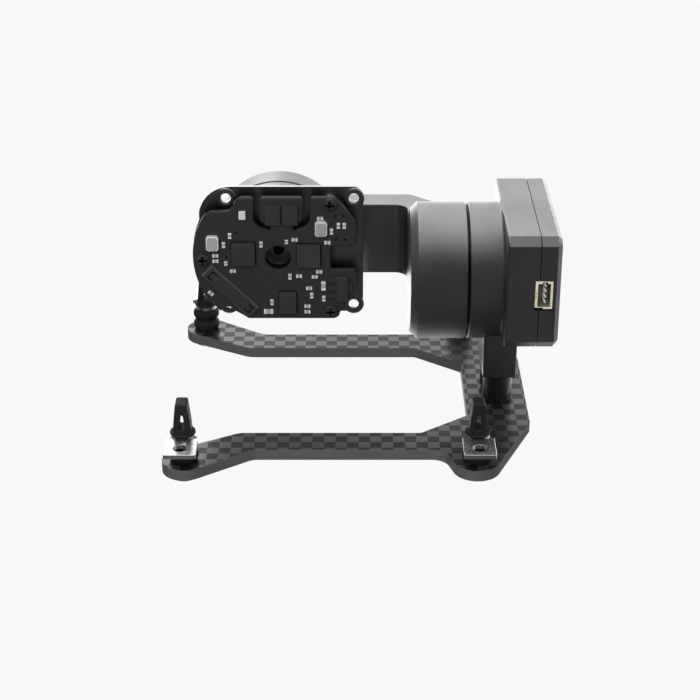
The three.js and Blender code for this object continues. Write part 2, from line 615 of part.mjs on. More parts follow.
function cameraPlate() {
  const { front, face, back, radius, top, right, bottom, padRadius, bossRadius } = CAMERA_PLATE;
  const { leftCorner, leftCornerX } = CAMERA_PLATE;
  const corner = 2;
  const outline = [
    ...arc(leftCornerX, top - leftCorner, leftCorner, Math.PI / 2, Math.PI * 0.95),
    ...arc(0, 0, radius, Math.PI * 0.87, 2 * Math.PI - Math.acos(-9.8 / radius)),
    ...arc(right - corner, bottom + corner, corner, -Math.PI / 2, 0),
    ...arc(right - corner, top - corner, corner, 0, Math.PI / 2),
  ];
  const plate = extrude(onRoll(outline), face, back, 'Y');
  const pads = cameraHolePlaces().map(([x, z]) => extrude(onRoll(circle(x, z, padRadius)), front, back, 'Y'));
  const screwPads = PCB_SCREWS.map(([x, z]) => (
    extrude(onRoll(circle(x, z, bossRadius)), PCB.back + FIT, back, 'Y')));
  const cuts = cameraHolePlaces().map(([x, z]) => (
    extrude(onRoll(circle(x, z, CAMERA_HOLES.radius)), front - 1, back + 1, 'Y')));
  for (const [x, z] of PCB_SCREWS) cuts.push(extrude(onRoll(circle(x, z, 0.7, 12)), 0, back - 0.3, 'Y'));
  for (const [x, z] of plateScrewPlaces()) {
    cuts.push(extrude(onRoll(circle(x, z, 0.75, 12)), front - 1, back + 1, 'Y'));
  }
  cuts.push(extrude(onRoll(circle(0, PCB.holeZ, PCB.hole, 24)), front - 1, back + 1, 'Y'));
  return build([plate, ...pads, ...screwPads], cuts);
}

function boardOutline() {
  const { radius, top, bottom, right } = PCB;
  const rightArcFrom = Math.acos(right / radius);
  const rightArcTo = Math.asin(top / radius);
  return [
    ...arc(0, 0, radius, rightArcFrom, rightArcTo),
    ...arc(6.45, top - 0.7, 0.7, Math.PI / 2, Math.PI, 12),                   // right ear
    ...arc(3.6, 7.6, 2.15, 0, -Math.PI / 2, 24),                             // slot, outer side
    new THREE.Vector2(3.1, 5.05),
    new THREE.Vector2(3.2, 4.85 + 0.95),
    ...arc(3.3, 7.6, 1.2, -Math.PI / 2, 0, 24),                              // slot, tongue side
    ...arc(4, top - 0.7, 0.7, 0, Math.PI / 2, 12),
    ...arc(-2.5, top - 0.7, 0.7, Math.PI / 2, Math.PI, 12),
    ...arc(-2, 7.6, 1.2, Math.PI, Math.PI * 1.5, 24),
    new THREE.Vector2(-1.6, 5.75), new THREE.Vector2(-1.5, 5.05),
    ...arc(-2.1, 7.6, 2.15, Math.PI * 1.5, Math.PI, 24),
    ...arc(-4.85, top - 0.7, 0.7, 0, Math.PI / 2, 12),                       // left ear
    ...arc(-6.05, top - 1.75, 1.75, Math.PI / 2, Math.PI * 0.9, 12),
    ...arc(-9.3, 10.35, 1.5, -0.12, -Math.PI / 2, 12),                          // round the upper left hole
    ...arc(-11.6, 7.65, 1.2, Math.PI / 2, Math.PI * 0.82, 12),
    ...arc(0, 0, radius, Math.acos(-12.95 / radius), Math.PI * 2 - Math.acos(-12.9 / radius)),
    ...arc(-9.3, -11.4, 1.55, Math.PI * 0.86, Math.PI * 0.14, 16),           // over the lower left hole
    ...arc(-5.4, bottom + 0.8, 0.8, Math.PI * 1.2, Math.PI * 1.5, 12),
    ...arc(9.8, bottom + 1.5, 1.5, Math.PI * 1.5, Math.PI * 1.8, 12),
    ...arc(13.66, -10.4, 2.2, Math.PI * 0.95, Math.PI * 0.5, 16),             // round the lower right hole
    ...arc(right - 0.5, -7.6, 0.5, -Math.PI / 4, 0, 12),
    ...arc(right - 0.7, -3.1, 0.7, 0, Math.PI / 2, 12),
    ...arc(9.9, -2.1, 0.3, Math.PI * 1.5, Math.PI, 12),                      // notch
    ...arc(9.9, 1.8, 0.3, Math.PI, Math.PI / 2, 12),
    ...arc(right - 0.7, 2.8, 0.7, -Math.PI / 2, 0, 12),
  ];
}

function cameraBoard() {
  const { front, back, hole, holeZ } = PCB;
  const screwHoles = PCB_SCREWS.map(([x, z]) => onRoll(circle(x, z, 0.75, 12)));
  const middleHole = onRoll(circle(0, holeZ, hole, 24));
  return extrude(onRoll(boardOutline()), front, back, 'Y', [middleHole, ...screwHoles]);
}

addPart('camera_plate', cameraPlate(), 'darkAluminium');
addPart('camera_board', cameraBoard(), 'board');
PCB_SCREWS.forEach(([x, z], i) => {
  addPart(`board_screw_${i + 1}`, screw('Y', PCB.front - FIT, -1, [ROLL_X + x, 0, TILT_Z + z],
    { head: 1.25, height: 0.7, shank: 0.65, length: 2.9, recess: 0.5 }), 'blackSteel');
});
plateScrewPlaces().forEach(([x, z], i) => {
  addPart(`plate_screw_${i + 1}`, screw('Y', CAMERA_PLATE.face - FIT, -1, [ROLL_X + x, 0, TILT_Z + z],
    { head: 1.3, height: 0.6, shank: 0.65, length: 2.5, recess: 0.5 }), 'blackSteel');
});

// Pieces soldered to the front of the board: [name, x, z, width, height, thickness, material].
const BOARD_PIECES = [
  ['driver_chip_left', -6.25, 0.85, 4.3, 4.4, 0.85, 'chip'],
  ['driver_chip_right', 5.5, 0.55, 4.25, 4.4, 0.85, 'chip'],
  ['driver_chip_lower', 1.65, -8.75, 3.15, 4.3, 0.85, 'chip'],
  ['gyro_chip_left', -0.85, 8.35, 2.75, 3.7, 0.75, 'chip'],
  ['gyro_chip_right', 2.25, 8.35, 2.8, 3.7, 0.75, 'chip'],
  ['inductor_left', -11.75, 2.95, 2.25, 2.8, 1, 'component'],
  ['inductor_right', 7.8, 5.75, 2.2, 2.8, 1, 'component'],
  ['crystal', -6.25, 8.45, 1.45, 1.9, 0.6, 'component'],
  ['voltage_regulator', 11.55, -5.85, 2.1, 4.85, 1.2, 'plastic'],
];
for (const [name, x, z, width, height, thickness, material] of BOARD_PIECES) {
  const outline = rectangle(x - width / 2, z - height / 2, x + width / 2, z + height / 2);
  addPart(name, extrude(onRoll(outline), PCB.front - FIT - thickness, PCB.front - FIT, 'Y'), material);
}

// The flat-cable connector lies across the lower left corner of the board.
const FLEX = { x: -8.7, z: -6.4, length: 11.8, width: 2.65, thickness: 1.1, degrees: -45 };
const flexOutline = rectangle(-FLEX.length / 2, -FLEX.width / 2, FLEX.length / 2, FLEX.width / 2)
  .map((p) => p.rotateAround(new THREE.Vector2(), THREE.MathUtils.degToRad(FLEX.degrees)))
  .map((p) => new THREE.Vector2(p.x + FLEX.x, p.y + FLEX.z));
addPart('flex_connector',
  extrude(onRoll(flexOutline), PCB.front - FIT - FLEX.thickness, PCB.front - FIT, 'Y'), 'plastic');

group.position.set(-FRAME_CENTRE.x, 0, -FRAME_CENTRE.z);

export default group;
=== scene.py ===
"""The looks of a two-axis camera gimbal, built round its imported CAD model.

Shapes are made in millimetres in the CAD's own axes: X along the tilt axis, the camera looks along -Y, Z is
up, and heights are counted from the top face of the carbon plate. Each finished piece is then moved into
the row frame, in metres, and rides on its CAD body.
"""

import math
from types import SimpleNamespace

import bmesh
import bpy
from mathutils import Matrix, Vector
from mathutils.geometry import tessellate_polygon


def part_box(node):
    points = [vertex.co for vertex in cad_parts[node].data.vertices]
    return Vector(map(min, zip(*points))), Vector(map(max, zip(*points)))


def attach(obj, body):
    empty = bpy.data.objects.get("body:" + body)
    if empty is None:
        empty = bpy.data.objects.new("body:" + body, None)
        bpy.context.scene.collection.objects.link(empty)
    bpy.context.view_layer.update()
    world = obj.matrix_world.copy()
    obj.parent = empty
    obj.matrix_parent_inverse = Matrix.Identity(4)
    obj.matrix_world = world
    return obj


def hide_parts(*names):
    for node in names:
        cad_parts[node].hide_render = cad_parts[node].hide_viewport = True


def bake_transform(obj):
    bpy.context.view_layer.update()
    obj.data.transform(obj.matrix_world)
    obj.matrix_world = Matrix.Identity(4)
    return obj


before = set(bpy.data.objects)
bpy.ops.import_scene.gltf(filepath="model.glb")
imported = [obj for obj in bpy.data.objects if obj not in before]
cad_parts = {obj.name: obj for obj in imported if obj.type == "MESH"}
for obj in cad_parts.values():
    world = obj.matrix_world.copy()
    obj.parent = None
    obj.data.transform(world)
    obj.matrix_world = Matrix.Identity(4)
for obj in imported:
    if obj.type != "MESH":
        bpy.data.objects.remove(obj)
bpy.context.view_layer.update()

# ---- the CAD's own axes ----

MM = 0.001
POST_X = 26.8                  # the standoffs stand this far along X
post_low, post_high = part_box("standoff_front")
ORIGIN = Vector(((post_low.x + post_high.x) / 2 - POST_X * MM, 0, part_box("base_plate")[1].z))
TO_ROW = Matrix.Translation(ORIGIN) @ Matrix.Scale(MM, 4)


def span(node):
    """The lowest and highest corner of a CAD node, in millimetres in the CAD's axes."""
    low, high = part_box(node)
    return (low - ORIGIN) / MM, (high - ORIGIN) / MM


def middle(node):
    low, high = span(node)
    return (low + high) / 2


TILT_Z = middle("tilt_shaft").z
ROLL_X = middle("roll_shaft").x
ROLL_Z = middle("roll_shaft").z
MOTOR_RADIUS = 12.1           # tilt motor
ROLL_RADIUS = 11.9            # roll motor
MOTOR_SIDES = 160             # facets round each motor's case

# ---- outlines: lists of (x, y) points ----


def arc(x, y, radius, start, end, sides=96):
    """Points of an arc from angle start to angle end, in radians, both ends included."""
    steps = max(1, math.ceil(abs(end - start) / (2 * math.pi) * sides))
    angles = [start + (end - start) * i / steps for i in range(steps + 1)]
    return [(x + radius * math.cos(a), y + radius * math.sin(a)) for a in angles]


def circle(x, y, radius, sides=48):
    return arc(x, y, radius, 0, 2 * math.pi, sides)[:-1]


def belt(circles):
    """A counter-clockwise outline wrapped like a belt round circles (x, y, radius): a positive radius is an
    outside round, a negative one an inside fillet, and 0 a sharp corner."""
    tangents = []
    for i, (x, y, radius) in enumerate(circles):
        next_x, next_y, next_radius = circles[(i + 1) % len(circles)]
        direction = math.atan2(next_y - y, next_x - x)
        distance = math.hypot(next_x - x, next_y - y)
        tangents.append(direction + math.acos((next_radius - radius) / distance))
    points = []
    for i, (x, y, radius) in enumerate(circles):
        if radius == 0:
            points.append((x, y))
            continue
        turn = math.pi if radius > 0 else 0
        start = tangents[i - 1] + turn
        end = tangents[i] + turn
        while radius > 0 and end < start:
            end += 2 * math.pi
        while radius < 0 and end > start:
            end -= 2 * math.pi
        points += arc(x, y, abs(radius), start, end)
    return points


def soften(corners, closed=True, steps=5):
    """A line through corners (x, y, radius), each corner rounded to its radius."""
    points = []
    count = len(corners)
    for i, (x, y, radius) in enumerate(corners):
        if radius == 0 or (not closed and i in (0, count - 1)):
            points.append((x, y))
            continue
        here = Vector((x, y))
        back = (Vector(corners[i - 1][:2]) - here).normalized()
        ahead = (Vector(corners[(i + 1) % count][:2]) - here).normalized()
        half = back.angle(ahead) / 2
        centre = here + (back + ahead).normalized() * (radius / math.sin(half))
        first = here + back * (radius / math.tan(half)) - centre
        last = here + ahead * (radius / math.tan(half)) - centre
        start = math.atan2(first.y, first.x)
        sweep = math.atan2(first.cross(last), first.dot(last))
        for step in range(steps + 1):
            angle = start + sweep * step / steps
            points.append((centre.x + radius * math.cos(angle), centre.y + radius * math.sin(angle)))
    return points


def box_outline(x0, y0, x1, y1, radius=0.0):
    return soften([(x0, y0, radius), (x1, y0, radius), (x1, y1, radius), (x0, y1, radius)])


def chamfered(x0, y0, x1, y1, low, high):
    """A rectangle with its two lower and its two upper corners cut off."""
    return [
        (x0 + low, y0), (x1 - low, y0), (x1, y0 + low), (x1, y1 - high),
        (x1 - high, y1), (x0 + high, y1), (x0, y1 - high), (x0, y0 + low),
    ]


def shift(outline, x, y, degrees=0.0):
    """The outline turned about the origin, then moved."""
    cosine = math.cos(math.radians(degrees))
    sine = math.sin(math.radians(degrees))
    return [(x + a * cosine - b * sine, y + a * sine + b * cosine) for a, b in outline]


# ---- shapes: bmeshes in millimetres ----

AXES = {                       # how an outline's (u, v) and its station w become x, y and z
    "X": lambda u, v, w: (w, u, v),
    "Y": lambda u, v, w: (u, w, v),
    "Z": lambda u, v, w: (u, v, w),
}


def signed_area(points):
    return sum(points[i - 1][0] * y - x * points[i - 1][1] for i, (x, y) in enumerate(points)) / 2


def inset(points, distance):
    """The closed line moved to its left by distance, with mitred corners."""
    moved = []
    for i, (x, y) in enumerate(points):
        before = Vector((x, y)) - Vector(points[i - 1])
        after = Vector(points[(i + 1) % len(points)]) - Vector((x, y))
        a = Vector((-before.y, before.x)).normalized()
        b = Vector((-after.y, after.x)).normalized()
        step = (a + b) * (distance / (1 + a.dot(b)))
        moved.append((x + step.x, y + step.y))
    return moved


def rim_profile(low, high, near, far, steps):
    """(inset, station) pairs from one face of a slab to the other, with a rounded rim at both ends."""
    quarter = [math.pi / 2 * i / steps for i in range(steps + 1)]
    start = [(near * (1 - math.sin(a)), low + near * (1 - math.cos(a))) for a in quarter]
    end = [(far * (1 - math.cos(a)), high - far * (1 - math.sin(a))) for a in quarter]
    return (start if near else [(0, low)]) + (end if far else [(0, high)])


def slab(outline, low, high, axis="Z", holes=(), rim=0.1, rims=None, steps=3):
    """The outline, less its holes, as a slab from low to high along the axis. rims gives the rounding of the
    low and the high edges one by one, and steps=1 makes them plain bevels."""
    near, far = rims or (rim, rim)
    place = AXES[axis]
    outer = outline if signed_area(outline) > 0 else outline[::-1]
    inner = [hole if signed_area(hole) < 0 else hole[::-1] for hole in holes]
    shape = bmesh.new()
    ends = ([], [])
    for line in [outer, *inner]:
        rings = []
        for distance, station in rim_profile(low, high, near, far, steps):
            flat = inset(line, distance) if distance else line
            rings.append([shape.verts.new(place(u, v, station)) for u, v in flat])
        for lower, upper in zip(rings, rings[1:]):
            for i in range(len(line)):
                shape.faces.new((lower[i - 1], lower[i], upper[i], upper[i - 1]))
        ends[0].append((inset(line, near), rings[0]))
        ends[1].append((inset(line, far), rings[-1]))
    for end in ends:
        cap(shape, end)
    bmesh.ops.recalc_face_normals(shape, faces=shape.faces)
    return shape


def block(x0, z0, x1, z1, low, high, radius=0.0, **rounding):
    """A box from y = low to high. The radius rounds its edges along Y, and rounding is as for a slab."""
    return slab(box_outline(x0, z0, x1, z1, radius), low, high, "Y", **rounding)


def cap(shape, loops):
    """Closes one end of a slab: loops are (flat points, vertices), the outside one first."""
    if len(loops) == 1:
        shape.faces.new(loops[0][1])
        return
    corners = [vert for _, ring in loops for vert in ring]
    flat = [[Vector((u, v, 0)) for u, v in line] for line, _ in loops]
    faces = [shape.faces.new([corners[i] for i in triangle]) for triangle in tessellate_polygon(flat)]
    inner = {edge for face in faces for edge in face.edges if all(f in faces for f in edge.link_faces)}
    bmesh.ops.dissolve_limit(shape, angle_limit=0.01, verts=[], edges=list(inner))


def lathe(profile, axis, centre, closed=False, sides=96):
    """A profile of (station, radius) points turned round an axis through centre. closed joins its ends, for a
    ring; otherwise the ends are closed with flat discs."""
    place = AXES[axis]
    offset = Vector(centre)
    shape = bmesh.new()
    rings = []
    for station, radius in profile:
        turns = circle(0, 0, radius, sides)
        rings.append([shape.verts.new(Vector(place(u, v, station)) + offset) for u, v in turns])
    pairs = list(zip(rings, rings[1:]))
    if closed:
        pairs.append((rings[-1], rings[0]))
    else:
        shape.faces.new(rings[0])
        shape.faces.new(rings[-1])
    for lower, upper in pairs:
        for i in range(sides):
            shape.faces.new((lower[i - 1], lower[i], upper[i], upper[i - 1]))
    bmesh.ops.recalc_face_normals(shape, faces=shape.faces)
    return shape


def put(name, data):
    """A new object in the scene, with this mesh, light or camera."""
    made = bpy.data.objects.new(name, data)
    bpy.context.scene.collection.objects.link(made)
    return made


def temporary(shape):
    mesh = bpy.data.meshes.new("temporary")
    shape.to_mesh(mesh)
    shape.free()
    return put("temporary", mesh)


def boolean(shape, others, operation):
    base = temporary(shape)
    tools = [temporary(other) for other in others]
    for tool in tools:
        modifier = base.modifiers.new(operation, "BOOLEAN")
        modifier.operation = operation
        modifier.solver = "EXACT"
        modifier.object = tool
    result = bmesh.new()
    result.from_object(base, bpy.context.evaluated_depsgraph_get())
    for used in [base, *tools]:
        bpy.data.meshes.remove(used.data)
    bmesh.ops.remove_doubles(result, verts=result.verts, dist=1e-4)
    bmesh.ops.dissolve_degenerate(result, dist=1e-5, edges=result.edges)
    return result


def join(shape, *others):
    return boolean(shape, others, "UNION")


def cut(shape, *others):
    return boolean(shape, others, "DIFFERENCE")


def merged(shapes):
    """Separate closed bodies kept side by side in one mesh."""
    mesh = bpy.data.meshes.new("temporary")
    result = bmesh.new()
    for shape in shapes:
        shape.to_mesh(mesh)
        shape.free()
        result.from_mesh(mesh)
    bpy.data.meshes.remove(mesh)
    return result


# ---- procedural materials ----


def add(tree, kind, inputs=None, **settings):
    """A shader node of a kind. An input is a socket to link or a value to set."""
    made = tree.nodes.new("ShaderNode" + kind)
    for key, value in settings.items():
        setattr(made, key, value)
    for key, value in (inputs or {}).items():
        if isinstance(value, bpy.types.NodeSocket):
            tree.links.new(value, made.inputs[key])
        else:
            made.inputs[key].default_value = value
    return made


def maths(tree, operation, *values):
    return add(tree, "Math", dict(enumerate(values)), operation=operation).outputs[0]


def remap(tree, value, start, end, low=0.0, high=1.0):
    """The value, moved from the range start to end onto the range low to high."""
    inputs = {"Value": value, "From Min": start, "From Max": end, "To Min": low, "To Max": high}
    return add(tree, "MapRange", inputs).outputs["Result"]


def ramp(tree, factor, stops):
    """A colour ramp: stops are (position, grey level or (r, g, b))."""
    made = add(tree, "ValToRGB", {"Fac": factor})
    elements = made.color_ramp.elements
    elements[0].position = stops[0][0]
    elements[-1].position = stops[-1][0]
    for position, _ in stops[1:-1]:
        elements.new(position)
    for element, (_, colour) in zip(elements, stops):
        element.color = (*colour, 1) if isinstance(colour, tuple) else (colour, colour, colour, 1)
    return made.outputs["Color"]


def new_material(name, metallic=0.0, specular=0.5, coat=0.0, coat_roughness=0.1):
    """A material with its principled shader and the object's own coordinates in millimetres."""
    material = bpy.data.materials.new(name)
    material.use_nodes = True
    tree = material.node_tree
    shader = tree.nodes["Principled BSDF"]
    shader.inputs["Metallic"].default_value = metallic
    shader.inputs["Specular IOR Level"].default_value = specular
    shader.inputs["Coat Weight"].default_value = coat
    shader.inputs["Coat Roughness"].default_value = coat_roughness
    object_place = add(tree, "TexCoord").outputs["Object"]
    places = add(tree, "VectorMath", {0: object_place, 1: (1000, 1000, 1000)}, operation="MULTIPLY")
    return material, tree, shader, places.outputs["Vector"]


def noise(tree, places, scale, detail=3.0):
    """Noise with `scale` features to the millimetre."""
    return add(tree, "TexNoise", {"Vector": places, "Scale": scale, "Detail": detail}).outputs["Fac"]


def spread(tree, value, low, high):
    """The value, about 0.3 to 0.7 as noise is, spread over low to high."""
    return remap(tree, value, 0.3, 0.7, low, high)


def surface(tree, shader, colour, roughness):
    tree.links.new(colour, shader.inputs["Base Color"])
    tree.links.new(roughness, shader.inputs["Roughness"])


def bump(tree, shader, height, strength, depth=0.02):
    """Relief of `depth` millimetres on the shader's normal."""
    inputs = {"Height": height, "Strength": strength, "Distance": depth * MM}
    tree.links.new(add(tree, "Bump", inputs).outputs["Normal"], shader.inputs["Normal"])


def grained(name, dark, light, roughness, grain=4.0, relief=0.3, depth=0.02, wear=0.12, **settings):
    """A material with a fine grain in colour, roughness and relief, over a slow change in tone."""
    material, tree, shader, places = new_material(name, **settings)
    fine = noise(tree, places, grain)
    slow = noise(tree, places, wear, 2.0)
    mean = maths(tree, "MULTIPLY", maths(tree, "ADD", fine, slow), 0.5)
    colour = ramp(tree, mean, [(0.38, dark), (0.62, light)])
    surface(tree, shader, colour, spread(tree, fine, *roughness))
    bump(tree, shader, fine, relief, depth)
    return material


def carbon_weave():
    """Plain 2 mm weave under clear resin: warp and weft cells catch the light differently."""
    resin = {"coat": 0.3, "coat_roughness": 0.12}
    material, tree, shader, places = new_material("carbon_weave", metallic=0.75, **resin)
    flat = add(tree, "VectorMath", {0: places, 1: (1, 1, 0)}, operation="MULTIPLY").outputs["Vector"]
    placed = add(tree, "VectorMath", {0: flat, 1: (0.35, 0.1, 0.5)}, operation="ADD").outputs["Vector"]
    cells = add(tree, "TexChecker", {"Vector": placed, "Scale": 0.5}).outputs["Fac"]
    thread = {"Vector": placed, "Scale": 3.2, "Distortion": 0.6, "Detail": 1.0}
    warp = add(tree, "TexWave", thread, bands_direction="X").outputs["Fac"]
    weft = add(tree, "TexWave", thread, bands_direction="Y").outputs["Fac"]
    fibres = add(tree, "Mix", {"Factor": cells, "A": warp, "B": weft}).outputs[0]
    grain = noise(tree, placed, 5.0)
    tone = maths(tree, "MULTIPLY_ADD", fibres, 0.18, cells)
    varied = maths(tree, "MULTIPLY_ADD", grain, 0.25, tone)
    colour = ramp(tree, varied, [(0.1, 0.014), (1.25, 0.115)])
    surface(tree, shader, colour, remap(tree, cells, 0, 1, 0.52, 0.3))
    bump(tree, shader, fibres, 0.15, 0.01)
    return material


def carbon_edge():
    """The machined edge of the plate: thin plies one on another."""
    material, tree, shader, places = new_material("carbon_edge", specular=0.4)
    upright = add(tree, "VectorMath", {0: places, 1: (0.25, 0.25, 5)}, operation="MULTIPLY").outputs["Vector"]
    plies = noise(tree, upright, 1.0, 4.0)
    colour = ramp(tree, plies, [(0.35, 0.075), (0.65, 0.095)])
    surface(tree, shader, colour, spread(tree, plies, 0.5, 0.65))
    bump(tree, shader, plies, 0.2, 0.01)
    return material


def solder_mask():
    """Matt black solder mask over faint copper tracks."""
    material, tree, shader, places = new_material("solder_mask", specular=0.45)
    tracks = {"Vector": places, "Scale": 0.55, "Randomness": 0.55}
    edges = add(tree, "TexVoronoi", tracks, feature="DISTANCE_TO_EDGE", distance="EUCLIDEAN")
    raised = ramp(tree, edges.outputs["Distance"], [(0.03, 1.0), (0.05, 0.0)])
    grain = noise(tree, places, 6.0)
    colour = ramp(tree, grain, [(0.3, 0.02), (0.7, 0.026)])
    surface(tree, shader, colour, spread(tree, grain, 0.42, 0.5))
    bump(tree, shader, raised, 0.12, 0.02)
    return material


def laminations():
    """Stacked electrical steel: fine lines across the motor axis."""
    material, tree, shader, places = new_material("laminations", metallic=0.9)
    sheets = {"Vector": places, "Scale": 1.4, "Distortion": 0.3}
    lines = add(tree, "TexWave", sheets, bands_direction="DIAGONAL").outputs["Fac"]
    colour = ramp(tree, lines, [(0.1, 0.12), (0.9, 0.3)])
    surface(tree, shader, colour, spread(tree, lines, 0.35, 0.5))
    bump(tree, shader, lines, 0.3)
    return material


def enamelled_copper():
    material, tree, shader, places = new_material("enamelled_copper", metallic=0.85, coat=0.4)
    wire = {"Vector": places, "Scale": 1.2, "Distortion": 1.5, "Detail": 1.0}
    turns = add(tree, "TexWave", wire).outputs["Fac"]
    colour = ramp(tree, turns, [(0.1, (0.16, 0.05, 0.02)), (0.9, (0.6, 0.25, 0.1))])
    surface(tree, shader, colour, spread(tree, turns, 0.25, 0.4))
    bump(tree, shader, turns, 0.6, 0.1)
    return material


ALUMINIUM = grained("blasted_aluminium", 0.33, 0.42, (0.38, 0.46), grain=4.5, relief=0.5, metallic=1.0)
POLISHED_ALUMINIUM = grained("turned_aluminium", 0.2, 0.26, (0.26, 0.34), grain=4.0, relief=0.2, metallic=1.0)
# paler aluminium for the camera plate's edges: painted highlight
HIGHLIGHT_ALUMINIUM = grained("aluminium_painted_highlight", 0.68, 0.78, (0.3, 0.4), grain=4.0, relief=0.2, metallic=1.0)
DARK_ALUMINIUM = grained("black_anodised", 0.05, 0.07, (0.42, 0.52), grain=3.5, relief=0.2, metallic=0.7)
CARBON = carbon_weave()
CARBON_EDGE = carbon_edge()
RUBBER = grained("rubber", 0.01, 0.016, (0.55, 0.7), grain=2.0, relief=0.2, specular=0.3)
STEEL = grained("bright_steel", 0.88, 0.97, (0.24, 0.34), grain=3.0, relief=0.5, depth=0.03, metallic=1.0)
BLACK_STEEL = grained("black_steel", 0.03, 0.04, (0.5, 0.6), grain=3.0, relief=0.2, metallic=0.3)
# near-black: painted shade in the screw recesses, on the via discs and the roll shaft, and partly on the flex
# connector's brackets; it also colours the chip contacts
PITCH = grained("matt_black", 0.002, 0.004, (0.7, 0.8), grain=3.0, relief=0.1, specular=0.1)
BOARD = solder_mask()
EPOXY = grained("chip_epoxy", 0.026, 0.034, (0.5, 0.62), grain=6.0, relief=0.3, specular=0.4)
CERAMIC = grained("ceramic", 0.25, 0.3, (0.4, 0.5), grain=4.0, relief=0.15)
SOLDER = grained("tinned_ends", 0.56, 0.68, (0.3, 0.4), grain=5.0, relief=0.3, metallic=0.2)
BLACK_PLASTIC = grained("black_plastic", 0.024, 0.032, (0.38, 0.5), grain=5.0, relief=0.2)
NYLON = grained("beige_nylon", (0.56, 0.52, 0.41), (0.64, 0.6, 0.48), (0.35, 0.45), grain=3.0, relief=0.15)
# darker nylon for the faces inside the connector's mouth: painted shade
SHADED_NYLON = grained("nylon_painted_shade", (0.12, 0.11, 0.07), (0.16, 0.15, 0.1), (0.45, 0.55), grain=3.0)
MOULDED_EDGE = grained("moulded_edge", 0.07, 0.09, (0.4, 0.5), grain=4.0, relief=0.1)
COPPER = enamelled_copper()
LAMINATIONS = laminations()
NICKEL = grained("nickel", 0.45, 0.58, (0.2, 0.32), grain=3.0, relief=0.2, metallic=1.0)

# ---- finished pieces ----

SHARP_ANGLE = math.radians(38)


def piece(name, shape, materials, body, slot, *nodes):
    """A finished mesh from a shape, in the row frame. It rides on a body, or on none if body is None, and it
    stands for the CAD nodes named last."""
    bmesh.ops.recalc_face_normals(shape, faces=shape.faces)
    made = temporary(shape)
    made.name = name
    for material in materials:
        made.data.materials.append(material)
    made.data.shade_smooth()
    made.data.set_sharp_from_angle(angle=SHARP_ANGLE)
    weighted = made.modifiers.new("flat_faces", "WEIGHTED_NORMAL")
    weighted.keep_sharp = True
    evaluated = made.evaluated_get(bpy.context.evaluated_depsgraph_get())
    mesh = bpy.data.meshes.new_from_object(evaluated)
    made.modifiers.clear()
    made.data = mesh
    mesh.name = name
    mesh.transform(TO_ROW)
    if body:
        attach(made, body)
    if nodes:
        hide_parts(*nodes)
    return made


def paint(shape, index, chosen):
    """Gives the faces for which chosen(face) is true another of the piece's materials."""
    for face in shape.faces:
        if chosen(face):
            face.material_index = index


# ---- shock mount: carbon plate, dampers and steel tabs ----

SIDES = {"front": -1, "rear": 1}
ENDS = ("left", "right")
DAMPER_HOLE = 2.05             # hole radii in the carbon plate
POST_HOLE = 0.95
TAB_HOLE = 1.15
TAB_HOLE_Y = 31.3


def base_plate():
    low, high = span("base_plate")
    arm_inner = 16.75
    arm_outer = 22.9
    lobe_radius = 4.1
    front = [
        (20.25, -9.9, -0.8), (12.2, -arm_inner + 1.2, -1.2), (-18.1, -arm_inner - 4, 4),
        (middle("damper_front_left").x + 0.1, low.y + lobe_radius, lobe_radius - 0.2),
        (-15.6, -arm_outer - 3, -3), (14.2, -arm_outer - 3, -3),
        (middle("damper_front_right").x, low.y + lobe_radius, lobe_radius), (high.x - 2, -12.4, 2),
    ]
    rear = [(x, -y, radius) for x, y, radius in reversed(front)]
    holes = []
    for side in SIDES:
        for end in ENDS:
            centre = middle(f"damper_{side}_{end}")
            holes.append(circle(centre.x, centre.y, DAMPER_HOLE))
        post = middle(f"standoff_{side}")
        holes.append(circle(post.x, post.y, POST_HOLE, 32))
    shape = slab(belt(front + rear), low.z, high.z, holes=holes, rim=0.1)
    paint(shape, 1, lambda face: abs(face.normal.z) < 0.8)
    piece("carbon_plate", shape, [CARBON, CARBON_EDGE], "base", "carbon", "base_plate")


def damper(side, end):
    """A pull-through rubber damper: button, neck, two bulges, barb and a slotted pull tab."""
    node = f"damper_{side}_{end}"
    centre = middle(node)
    low, high = span(node)
    tab_low, tab_high = span(f"mounting_tab_{side}_{end}")
    seat = tab_low.z
    flange = tab_high.z + 0.05
    plate_under = span("base_plate")[0].z - 0.05
    body = lathe(soften([
        (low.z, 1.2, 0), (low.z, 2.6, 0.35), (plate_under, 2.45, 0.15), (plate_under, 1.75, 0.15),
        (0.05, 1.75, 0.1), (0.05, 2.2, 0.15), (0.8, 2.5, 0.6), (1.5, 2.5, 0.6), (2.2, 1.95, 0.35),
        (2.9, 2.5, 0.6), (3.6, 2.5, 0.6), (seat - 0.05, 2.1, 0.1), (seat - 0.05, 1.4, 0.1),
        (flange, 1.4, 0.1), (flange, 2.2, 0.18), (flange + 0.5, 2.15, 0.2), (flange + 0.6, 1.5, 0.1),
        (6.2, 1.4, 0.15), (6.25, 0.5, 0),
    ], closed=False), "Z", (centre.x, centre.y, 0), sides=64)
    foot = flange + 0.4
    tail = slab(soften([
        (-1.55, foot, 0), (1.55, foot, 0), (1.42, 7.6, 1.5), (1.0, high.z, 0.4), (-1.0, high.z, 0.4),
        (-1.42, 7.6, 1.5),
    ]), -1.55, 1.55, "Y", [soften([
        (-0.5, 6.45, 0.12), (0.5, 6.45, 0.12), (0.2, 9.1, 0.18), (-0.2, 9.1, 0.18),
    ])], rim=0.3)
    bmesh.ops.translate(tail, verts=tail.verts, vec=(centre.x, centre.y, 0))
    made = piece(f"rubber_{node}", join(body, tail), [RUBBER], None, "rubber", node)
    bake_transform(made)


